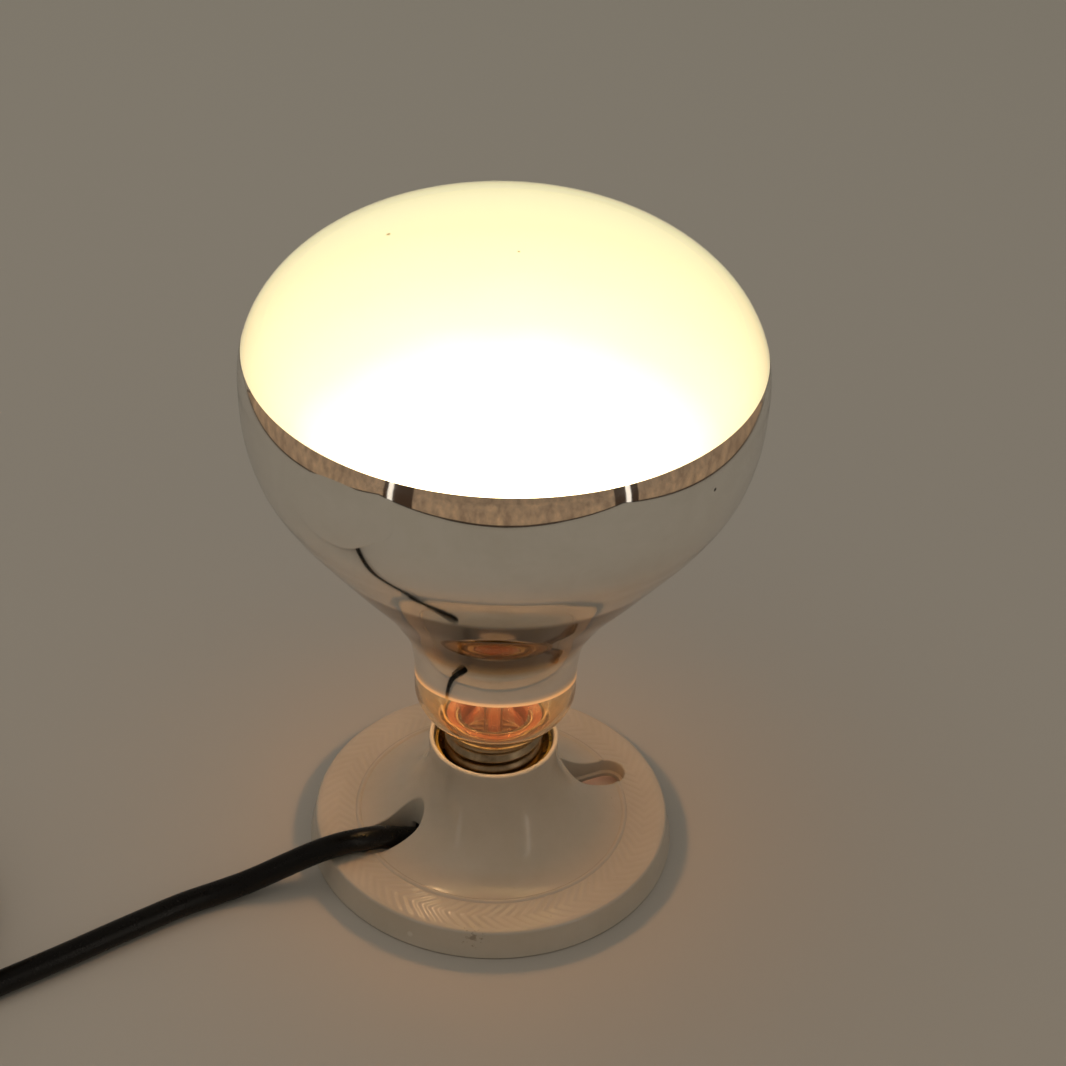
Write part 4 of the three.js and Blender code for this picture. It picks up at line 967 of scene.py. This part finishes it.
def buildBulb():
    # Glass, mirror and frost follow one outline, inset by their depths in the glass
    b = bulb
    line = bulbLine()
    outer = resampled(line, b["outerSpacing"])[0]
    coarse = resampled(line, b["innerSpacing"])[0]
    outer[-1, 0] = coarse[-1, 0] = 0
    inner = inset(coarse, b["wall"])
    inner = inner[inner[:, 1] > b["foot"] + b["wall"] + 0.6]
    tail, bore, foot, shelf = b["tailRadius"], b["tailRadius"] - b["wall"], b["foot"], b["foot"] + b["wall"]
    under = [(bore, b["tailFoot"]), (tail, b["tailFoot"]), (tail, foot - 1.2), (tail + 0.35, foot - 0.35),
             (tail + 1.2, foot)]
    over = [(b["jointRadius"] - 1.2, shelf), (bore + 1.2, shelf), (bore + 0.35, shelf - 0.35),
            (bore, shelf - 1.2)]
    glass = lathe(np.concatenate([under, outer, inner[::-1], over]), b["columns"])
    addPiece("bulbGlass", glass, glassFinish(), "bulb", "bulb_glass", "bulb_glass", crease=50)

    def coatFace(depth, low, high, spacing):
        # The stretch of the inset line between two heights, evenly spaced and cut square at both ends
        dense = resampled(inset(resampled(line, 0.5)[0], depth), 0.05)[0]
        return resampled(dense[(dense[:, 1] >= low) & (dense[:, 1] <= high)], spacing)[0]

    def coat(low, high):
        depth = b["wall"] - b["coatBite"]
        return coatFace(depth, low, high, 1.0), coatFace(depth + b["coat"], low, high, 4.0)[::-1]

    # The mirror's rows below the slant's end are spread between the slanted edge and that height
    edgeLow, end = b["edgeHeight"] - b["edgeSlant"], b["slantEnd"]
    face, rear = coat(edgeLow, b["mirrorTop"])
    r, z = np.concatenate([face, rear]).T
    angle = roundAngles(b["mirrorColumns"]) - math.radians(b["edgeTowards"])
    edge = b["edgeHeight"] + b["edgeSlant"] * np.cos(angle)
    share = np.clip((z - edgeLow) / (end - edgeLow), 0, 1)
    moved = np.where(z < end, edge + share * (end - edge), z)
    newRadius, oldRadius = (np.interp(height, face[:, 1], face[:, 0]) for height in (moved, z))
    shifted = np.where(z < end, newRadius - (oldRadius - r), r)
    mirror = skin(turned(shifted, moved, b["mirrorColumns"]), attributes={"fromEdge": moved - edge})
    addPiece("mirrorLayer", mirror, mirrorFinish(), "bulb", "mirror_layer", "mirror_coating", crease=60)

    face, rear = coat(b["mirrorTop"] + 0.05, b["top"])
    face[-1, 0] = rear[0, 0] = 0
    frost = lathe(np.concatenate([face, rear]), b["columns"])
    addPiece("frostLayer", frost, frostFinish(), "bulb", "frost_layer", "frost_coating", crease=60)
    print("bulb blown, silvered and frosted")


# Cap and socket: two rolled sleeves that share one thread
thread = {
    "pitch": 3.629,
    "depth": 1.0,
    "capRadius": 12.55,
    "capSheet": 0.55,
    "capFoot": 18.0,
    "capRim": 13.9,
    "capInner": 11.5,
    "insulatorRadii": (1.2, 5.8),
    "tipRadii": (3.4, 4.8),
    "cementGlow": (36, 41),
    "clearance": 0.45,
    "shellSheet": 0.7,
    "shellFoot": 10.1,
    "shellTop": 32.0,
    "shellFlare": 1.7,
    "shellLip": 3.3,
    "columns": 128,
}


def sleeve(outside, inside, low, high):
    # A sheet with an outer and an inner line, both rolled between two heights into a right-handed rounded
    # thread: half the depth times cos(height / pitch - angle), in turns
    r, z = np.concatenate([outside, inside[::-1]]).T
    pitch, columns = thread["pitch"], thread["columns"]
    fade = smooth((z - low) / (pitch / 2)) * smooth((high - z) / (pitch / 2))
    wave = thread["depth"] / 2 * np.cos(z / pitch * turn - roundAngles(columns))
    return skin(turned(r + fade * wave, z, columns))


def threadedLine(radius, low, high):
    # An upright line with twelve points to each turn of the thread
    heights = np.arange(low, high, thread["pitch"] / 12)
    return np.stack([heights * 0 + radius, heights], 1)


def buildCap(brass):
    t, rim = thread, bulb["rim"]
    radius, flared, foot = t["capRadius"], t["capRim"], t["capFoot"]
    outside = np.concatenate([
        threadedLine(radius, foot, rim - 1.6),
        [(radius + 0.2, rim - 1.5), (flared - 0.35, rim - 1.0), (flared, rim - 0.6), (flared, rim - 0.1)],
    ])
    inside = outside - (t["capSheet"], 0)
    shell = sleeve(outside, inside, foot, rim - 1.7)
    # Aluminium cap, drawn and rolled: warm grey from the heat, softly clouded
    aluminium = mottled("rolledAluminium", [(0.3, "#9a886c"), (0.5, "#b8a486"), (0.7, "#8a785e")], 5,
                        (0.26, 0.4), 0.6, 0.012, metallic=1.0)
    addPiece("capShell", shell, aluminium, "bulb", "cap_nickel", "cap_shell", crease=60)

    wide, low, high = cadSize("cap_insulator")
    hole, face = t["insulatorRadii"]
    outline = [(hole, low, 0.2), (face, low, 0.5), (wide - 0.5, foot - 0.6, 0.6), (wide, foot, 0.3),
               (wide, high, 0.3), (hole, high, 0.2)]
    # Vitrite: black glass cast into the cap's end, glossy with flow marks
    vitrite = mottled("blackVitrite", [(0.3, "#0d0b0a"), (0.7, "#1a1613")], 3, (0.08, 0.22), 0.9, 0.05,
                      ior=1.52)
    addPiece("capInsulator", lathe(rounded(outline, 4), 64), vitrite, "bulb", "cap_glass", "cap_insulator")

    _, low, high = cadSize("cap_contact")
    flat, wide = t["tipRadii"]
    outline = [(0, low, 0), (flat, low, 1.2), (wide, low + 0.6, 0.5), (wide, high, 0.2), (0, high, 0)]
    # Solder: soft grey metal, frozen in dull lumps
    solder = mottled("tinSolder", [(0.3, "#8a8a88"), (0.7, "#b4b3af")], 0.9, (0.3, 0.55), 0.4, 0.06,
                     metallic=1.0)
    addPiece("capTip", lathe(rounded(outline, 4), 64), solder, "bulb_lift", "solder", "cap_contact")
    dress(solder, "side_solder")

    low = cadSize("cap_cement")[1]
    inner, outer, mouth = bulb["tailRadius"] + 0.25, t["capInner"] - 0.3, flared - 1.2
    outline = [(inner, low, 0.3), (outer, low, 0.3), (outer, rim - 2.3, 0.3), (mouth, rim - 0.9, 0.3),
               (mouth, rim - 0.25, 0.2), (inner + 1.2, rim - 0.25, 0.2), (inner, rim - 1.4, 0.3)]
    addPiece("capCement", lathe(rounded(outline, 3)), cementFinish(), "bulb", "cap_cement", "cap_cement")

    top, foot, sheet = t["shellTop"], t["shellFoot"], t["shellSheet"]
    bore = t["capRadius"] + t["clearance"]
    lip = bore + t["depth"] / 2 - t["shellLip"]
    flare = bore + t["shellFlare"]
    inside = np.concatenate([
        [(lip, foot + sheet), (bore - 1, foot + sheet), (bore + 0.35, foot + 1.1), (bore + 0.5, foot + 1.7)],
        threadedLine(bore, foot + 2.2, top - 2.6),
        [(bore + 0.55, top - 2.3), (bore + 1.3, top - 1.3), (flare, top - 0.7), (flare, top)],
    ])
    outside = inset(inside, -sheet)
    outside[0] = (lip, foot)
    outside[-1] = (flare + sheet, top)
    shell = sleeve(outside, inside, foot + 2.0, top - 2.4)
    addPiece("threadShell", shell, brass, "holder", "contact_brass", "screw_shell", crease=60)
    print("cap and socket shell rolled")


def cementFinish():
    # Capping cement: dull red-brown grit; its mouth carries a painted red glow, for the filament's light
    # shining down the neck
    made, node, feed, place = newFinish("cappingCement", roughness=0.9, emissionStrength=1.0)
    grit = node("TexNoise", {"Vector": place, "Scale": 1 / (0.9 * mm), "Detail": 5.0, "Roughness": 0.7})
    glow = [(0, "#000000"), (0.7, "#4a190a"), (1, "#5a2410")]
    feed(
        baseColor=node("ValToRGB", [grit], stops=[(0.3, "#4a2a1c"), (0.7, "#6a4028")]),
        normal=node("Bump", {"Height": grit, "Distance": 0.15 * mm}),
        # Painted glow at the cement's mouth, for the filament's light
        emissionColor=toneBetween(node, place, *thread["cementGlow"], glow),
    )
    return made


# Mount inside the bulb: stem, pinch, exhaust tube, rod, wires and the filament
mount = {
    "stemRadius": 4.2,
    "stemWall": 1.0,
    "stemTop": 66.7,
    "stemSides": 64,
    "press": (5.5, 2.0),  # half sizes where it is pinched flat
    "pressRows": 14,
    "exhaustRadius": 1.6,
    "rod": 1.4,
    "button": 2.4,
    "filamentRing": 9.5,
    "filamentCoil": 0.7,
    "filamentWire": 0.11,
    "filamentTurns": 64,
    "turnPoints": 14,
    "filamentZ": 103.7,
    "hotToCool": (-9, 0.5),  # along Y
    "litStem": (33, 66),
}


def mountGlassFinish():
    # Lead glass of the stem: clear, slightly grey, and lit amber by the filament above it
    made, node, feed, place = newFinish("stemGlass", transmissionWeight=1.0, ior=1.56,
                                        baseColor=linear("#f6f1e6"), emissionStrength=1.0)
    streak = node("TexNoise", {"Vector": place, "Scale": 1 / (3 * mm), "Detail": 3.0})
    glow = [(0, "#260d06"), (0.25, "#401c0c"), (0.45, "#4a2b14"), (1, "#3a2210")]
    feed(
        roughness=node("MapRange", [streak, 0.0, 1.0, 0.0, 0.08]),
        emissionColor=toneBetween(node, place, *mount["litStem"], glow),
    )
    letLightThrough(made, node)
    return made


def filamentFinish():
    # Coiled tungsten at working heat: an orange-white glow that is dimmer at the cooler ends
    made, node, feed, place = newFinish("hotTungsten", metallic=1.0, roughness=0.5, emissionStrength=6.0)
    grain = node("TexNoise", {"Vector": place, "Scale": 1 / (0.4 * mm)})
    glow = [(0, "#ffd9a0"), (0.7, "#ffc070"), (1, "#8a3c14")]
    feed(
        baseColor=node("ValToRGB", [grain], stops=[(0.3, "#4a443e"), (0.7, "#6a635b")]),
        emissionColor=toneBetween(node, place, *mount["hotToCool"], glow, axis="Y"),
    )
    return made


def stemMesh():
    # A flared tube that is pressed flat at its top. Its section goes from a circle to a flat bar, as
    # |cos(a)| and |sin(a)| go to a power that falls from 1 to 0.45
    m, rim = mount, bulb["rim"]
    sides, rows = m["stemSides"], m["pressRows"]
    low = cadSize("glass_stem")[1]
    flare = bulb["tailRadius"] - bulb["wall"] - 0.3
    radius, top = m["stemRadius"], m["stemTop"]
    line = throughPoints([
        (flare, low), (flare, low + 2.5), (radius + 1.1, rim + 1.5), (radius, rim + 8), (radius, top - 6),
    ], 10)
    height = np.concatenate([line[:, 1], top - 5.5 + 9.5 * np.linspace(0, 1, rows)])
    base = np.concatenate([line[:, 0], np.full(rows, radius)])
    squash = smooth((height - (top - 6)) / 7)[None, :]
    angle = roundAngles(sides)
    x, y = (
        np.sign(wave) * np.abs(wave) ** (1 - 0.55 * squash) * (base + (half - base) * squash)
        for wave, half in zip((np.cos(angle), np.sin(angle)), m["press"])
    )
    outside = np.stack(np.broadcast_arrays(x, y, height), -1)
    r, z = line[line[:, 1] < top - 8].T
    crown, boreTop = (np.broadcast_to((0, 0, z), (sides, 1, 3)) for z in (top + 4.2, top - 7))
    return skin(np.concatenate([outside, crown, boreTop, turned(r - m["stemWall"], z, sides)[:, ::-1]], 1))


def filamentMesh():
    # Half a ring of fine coil: the ring's angle runs once, the coil's angle many times
    m = mount
    share = np.linspace(0, 1, m["filamentTurns"] * m["turnPoints"] + 1)
    ringAngle = math.pi * (1 + share)
    coilAngle = share * m["filamentTurns"] * turn
    outward = np.stack([np.cos(ringAngle), np.sin(ringAngle), 0 * share], 1)
    onward = np.stack([-np.sin(ringAngle), np.cos(ringAngle), 0 * share], 1)
    centre = outward * m["filamentRing"] + (0, 0, m["filamentZ"])
    coil = outward * np.cos(coilAngle)[:, None] + np.outer(np.sin(coilAngle), (0, 0, 1))
    return tube(centre + m["filamentCoil"] * coil, m["filamentWire"], 6, upright=onward)


def buildMount():
    glass = mountGlassFinish()
    addPiece("stemGlass", stemMesh(), glass, "bulb", "mount_glass", "glass_stem", crease=50)
    _, low, high = cadSize("exhaust_tube")
    outer = mount["exhaustRadius"]
    outline = [(outer / 2, low, 0.2), (outer, low, 0.3), (outer, high, 0.3), (outer / 2, high, 0.2)]
    addPiece("exhaustTube", lathe(rounded(outline, 3), 40), glass, "bulb", "mount_glass", "exhaust_tube")
    _, low, high = cadSize("glass_rod")
    rod, button = mount["rod"], mount["button"]
    outline = [(0, low, 0), (rod, low, 0.4), (rod, high - 5, 2), (button, high - 2.4, 1.4),
               (rod * 0.8, high, 0.6), (0, high, 0)]
    addPiece("glassRod", lathe(rounded(outline), 48), glass, "bulb", "mount_glass", "glass_rod")
    addPiece("filamentCoil", filamentMesh(), filamentFinish(), "bulb", "tungsten", "filament")
    # Drawn molybdenum and nickel-iron wire: grey metal, faintly oxidised brown
    wire = mottled("drawnWire", [(0.3, "#6e665c"), (0.7, "#948a7c")], 2, (0.3, 0.5), 0.2, 0.01, metallic=1.0)
    dress(wire, "lead_wire_centre", "lead_wire_side", *(f"filament_support_{i}" for i in (1, 2, 3)))
    print("mount sealed in")


def buildWiring(brass):
    # Zinc-plated steel screws: pale grey metal with a faint blue-yellow cast
    steel = mottled("zincPlatedSteel", [(0.3, "#9a9b9c"), (0.55, "#b3b2ab"), (0.75, "#a7a48f")], 1.2,
                    (0.25, 0.45), 0.3, 0.02, metallic=1.0)
    # Core insulation: soft PVC in the two wiring colours, slightly matt
    brown = mottled("brownCorePvc", [(0.3, "#4e2c1a"), (0.7, "#5f3722")], 3, (0.35, 0.5), 0.4, 0.02, ior=1.5)
    blue = mottled("blueCorePvc", [(0.3, "#27548c"), (0.7, "#3163a3")], 3, (0.35, 0.5), 0.4, 0.02, ior=1.5)
    # Bunched copper strands, a little dulled by handling
    copper = mottled("copperStrands", [(0.3, "#9a5a38"), (0.55, "#c07a50"), (0.75, "#8d5233")], 0.8,
                     (0.25, 0.5), 0.25, 0.08, metallic=1.0)
    dress(brass, "contact_base", "contact_tongue", "contact_rivet", "shell_rivet_front", "shell_rivet_back",
          "live_terminal_plate", "neutral_terminal_plate")
    dress(steel, "live_terminal_screw", "neutral_terminal_screw")
    dress(brown, "live_core")
    dress(blue, "neutral_core")
    dress(copper, "live_strands", "neutral_strands")
    print("wiring dressed")


# Floor, room light and lamps
stage = {
    "reach": 4000,
    "thickness": 20,
    "towards": (-0.411, -0.912),  # where the table's front edge lies
    "tableEdge": 273,
    "tableSides": (10, 290),  # how far left its middle lies, and half its width
    "tableSeam": 7,
    # Painted reflection on the board: sizes of the room's patches, dark posts, and bright glint strips
    "patches": (20.0, 2.0),  # how fine the room is across and with distance
    "posts": [(-115.6, 5.9), (157.0, 4.9)],  # bearing of the middle and half width, in degrees
    "glintHalf": 1.0,
    "glints": [(-112.5, 0.35), (156.2, 0.65)],  # degrees from Y towards X, and the strip lamp's watts
    "stripDistance": 1200,
    "stripWidth": 30,
    "stripHeight": 1500,
    "cards": [(-187, 34, 67), (-238, -20, 80)],  # two discs whose outer line the card follows
    "cardHeight": 16.5,
    "cardSheet": 0.4,
    # Name, kind, place, watts, colour, what doesn't see it, and its settings
    "lamps": [
        ("overhead", "AREA", (-300, 200, 1700), 6.0, "#fff8ee", "glossy camera",
         {"shape": "SQUARE", "size": 1.8}),
        ("neckGlow", "POINT", (0, 0, 59), 0.08, "#ffc384", "camera glossy transmission",
         {"shadow_soft_size": 6 * mm}),
        ("rimGlow", "AREA", (0, 0, 40.85), 0.003, "#ffd2a0", "camera glossy transmission",
         {"shape": "DISK", "size": 36 * mm, "spread": math.radians(70)}),
        # Light that comes through the moulding under the free slot
        ("underSlot", "POINT", (34, 12, 4), 0.0009, "#ffc8aa", "camera", {"shadow_soft_size": 1.5 * mm}),
        # The neck's two bright sides, as the flange's gloss shows them
        ("neckSide0", "POINT", (-13.5, 9.5, 52.5), 0.009, "#ffcf98", "camera diffuse transmission",
         {"shadow_soft_size": 2.6 * mm}),
        ("neckSide1", "POINT", (13.2, -7.8, 52.5), 0.009, "#ffcf98", "camera diffuse transmission",
         {"shadow_soft_size": 2.6 * mm}),
    ],
}


def floorFinish():
    # A pale matt board, cooler far off. Mirrors see, past the table's dark edge, a painted reflection of a
    # tan room with two bright painted glint strips that have dark posts beside them
    made, node, feed, place = newFinish("paleBoard", roughness=0.7, ior=1.4, emissionStrength=1.0)
    x, y = stage["towards"]
    forward = node("VectorMath", [place, (x, y, 0)], "Value", operation="DOT_PRODUCT")
    level = node("MapRange", [forward, -0.7, 0.2])
    # Painted light: a faint warm pool towards the front, for the lamp's warm glow on the board
    colour = node("ValToRGB", [level], stops=[(0, "#beb6a9"), (0.6, "#bcb2a6"), (1, "#beb3a5")])
    # How far past the table: the greater of forward - edge and |sideways + middle| - half width
    middle, half = stage["tableSides"]
    pastSide = node("VectorMath", [place, (-y, x, 0)], "Value", operation="DOT_PRODUCT")
    for operation, value in (("ADD", middle), ("ABSOLUTE", 0), ("SUBTRACT", half)):
        pastSide = node("Math", [pastSide, value * mm], operation=operation)
    pastFront = node("Math", [forward, stage["tableEdge"] * mm], operation="SUBTRACT")
    past = node("Math", [pastFront, pastSide], operation="MAXIMUM")
    # Painted reflection, for glossy rays alone: past the table's edge the board shows a tan room, dark posts
    # and a dark seam
    glossy = node("LightPath", out="Is Glossy Ray")
    beyond = node("Math", [past, 0.0], operation="GREATER_THAN")
    line = node("Math", [past, 0.0, stage["tableSeam"] * mm], operation="COMPARE")
    seen, atLine = (node("Math", [glossy, where], operation="MULTIPLY") for where in (beyond, line))
    # The room's patches grow with the distance: noise at (20 x / r, 20 y / r, 2 ln r)
    across, away = stage["patches"]
    ray = node("VectorMath", [place], operation="NORMALIZE")
    spread = node("VectorMath", {0: ray, "Scale": across}, operation="SCALE")
    distance = node("VectorMath", [place], "Value", operation="LENGTH")
    power = node("Math", [distance, math.e], operation="LOGARITHM")
    depth = node("CombineXYZ", {"Z": node("Math", [power, away], operation="MULTIPLY")})
    spot = node("VectorMath", [spread, depth], operation="ADD")
    cloud = node("TexNoise", {"Vector": spot, "Scale": 1.0, "Detail": 5.0, "Roughness": 0.6})
    room = node("ValToRGB", [cloud], stops=[
        (0.34, "#b09074"), (0.5, "#cdaa8a"), (0.62, "#e0b892"), (0.74, "#f6cda2"),
    ])
    bearing = node("Math", [node("SeparateXYZ", [place], axis) for axis in "XY"], operation="ARCTAN2")

    def stripe(degrees, width):
        found = node("Math", [bearing, math.radians(degrees), math.radians(width)], operation="COMPARE")
        return node("Math", [found, seen], operation="MULTIPLY")

    posts = [(stripe(*post), linear("#50341c")) for post in stage["posts"]]
    for share, over in [(seen, room), *posts, (atLine, linear("#3a2a20"))]:
        colour = node("Mix", {"Factor": share, 6: colour, 7: over}, 2, data_type="RGBA")
    # Painted glints: thin bright strips that glow for mirrors along the strip lamps' bearings
    strips = [stripe(degrees, stage["glintHalf"]) for degrees, _ in stage["glints"]]
    bright = node("Math", strips, operation="MAXIMUM")
    glow = node("Mix", {"Factor": bright, 6: (0, 0, 0, 1), 7: linear("#fff4e4")}, 2, data_type="RGBA")
    feed(baseColor=colour, emissionColor=glow)
    return made


def makeLamp(name, kind, place, energy, colour, unseen, settings):
    data = bpy.data.lights.new(name, kind)
    data.energy = energy
    data.color = linear(colour)[:3]
    for key, value in settings.items():
        setattr(data, key, value)
    lamp = show(name, data)
    lamp.location = Vector(place) * mm
    for sense in unseen.split():
        setattr(lamp, f"visible_{sense}", False)
    return lamp


def makeWorld():
    # Even warm light from all round; seen directly it is as bright as the far floor
    world = bpy.data.worlds.new("softRoom")
    world.use_nodes = True
    bpy.context.scene.world = world
    node = partial(addNode, world.node_tree)
    colour = (0.28, 0.28, 0.26, 1)  # linear light, as the next value is
    for rays, over in (("Is Glossy Ray", (0.17, 0.145, 0.118, 1)), ("Is Camera Ray", linear("#83796b"))):
        share = node("LightPath", out=rays)
        colour = node("Mix", {"Factor": share, 6: colour, 7: over}, 2, data_type="RGBA")
    fill(world.node_tree.nodes["Background"], {"Color": colour})


def makeStage():
    board = floorFinish()
    reach, deep = stage["reach"], -stage["thickness"]
    floor = lathe([(0, deep), (reach, deep), (reach, 0), (0, 0)])
    # A pale card over the wound-up lead, seen by mirrors alone, so that the bulb reflects bare table there.
    # At each bearing its edge is on the disc that reaches furthest that way
    angle = roundAngles(96)
    heading = np.concatenate([np.cos(angle), np.sin(angle)], 1)
    discs = np.array(stage["cards"])
    furthest = discs[(heading @ discs[:, :2].T + discs[:, 2]).argmax(1)]
    outline = furthest[:, :2] + heading * furthest[:, 2:]
    height = stage["cardHeight"]
    card = skin(plate(outline, height, height + stage["cardSheet"], 0.1), closedRows=False)
    for name, mesh in (("floorBoard", floor), ("coilCard", card)):
        mesh.materials.append(board)
        show(name, mesh)
    for sense in ("camera", "diffuse", "shadow", "volume_scatter"):
        setattr(bpy.data.objects["coilCard"], f"visible_{sense}", False)
    makeWorld()
    for lamp in stage["lamps"]:
        makeLamp(*lamp)
    tall = stage["stripHeight"]
    shape = {"shape": "RECTANGLE", "size": stage["stripWidth"] * mm, "size_y": tall * mm}
    for degrees, power in stage["glints"]:
        away = Vector((math.sin(math.radians(degrees)), math.cos(math.radians(degrees)), 0))
        place = away * stage["stripDistance"] + Vector((0, 0, tall / 2))
        strip = makeLamp(f"strip{degrees:.0f}", "AREA", place, power, "#fff2e0",
                         "camera diffuse transmission", shape)
        strip.rotation_euler = away.to_track_quat("Z", "Y").to_euler()
    print("stage lit")


makeCamera()
buildLead()
# Brass, drawn and handled: warm yellow with brown tarnish
brass = mottled("drawnBrass", [(0.3, "#8f6f2e"), (0.5, "#c09a48"), (0.72, "#a9823a")], 3, (0.2, 0.42),
                0.3, 0.015, metallic=1.0)
buildHolder()
buildBulb()
buildCap(brass)
buildMount()
buildWiring(brass)
makeStage()
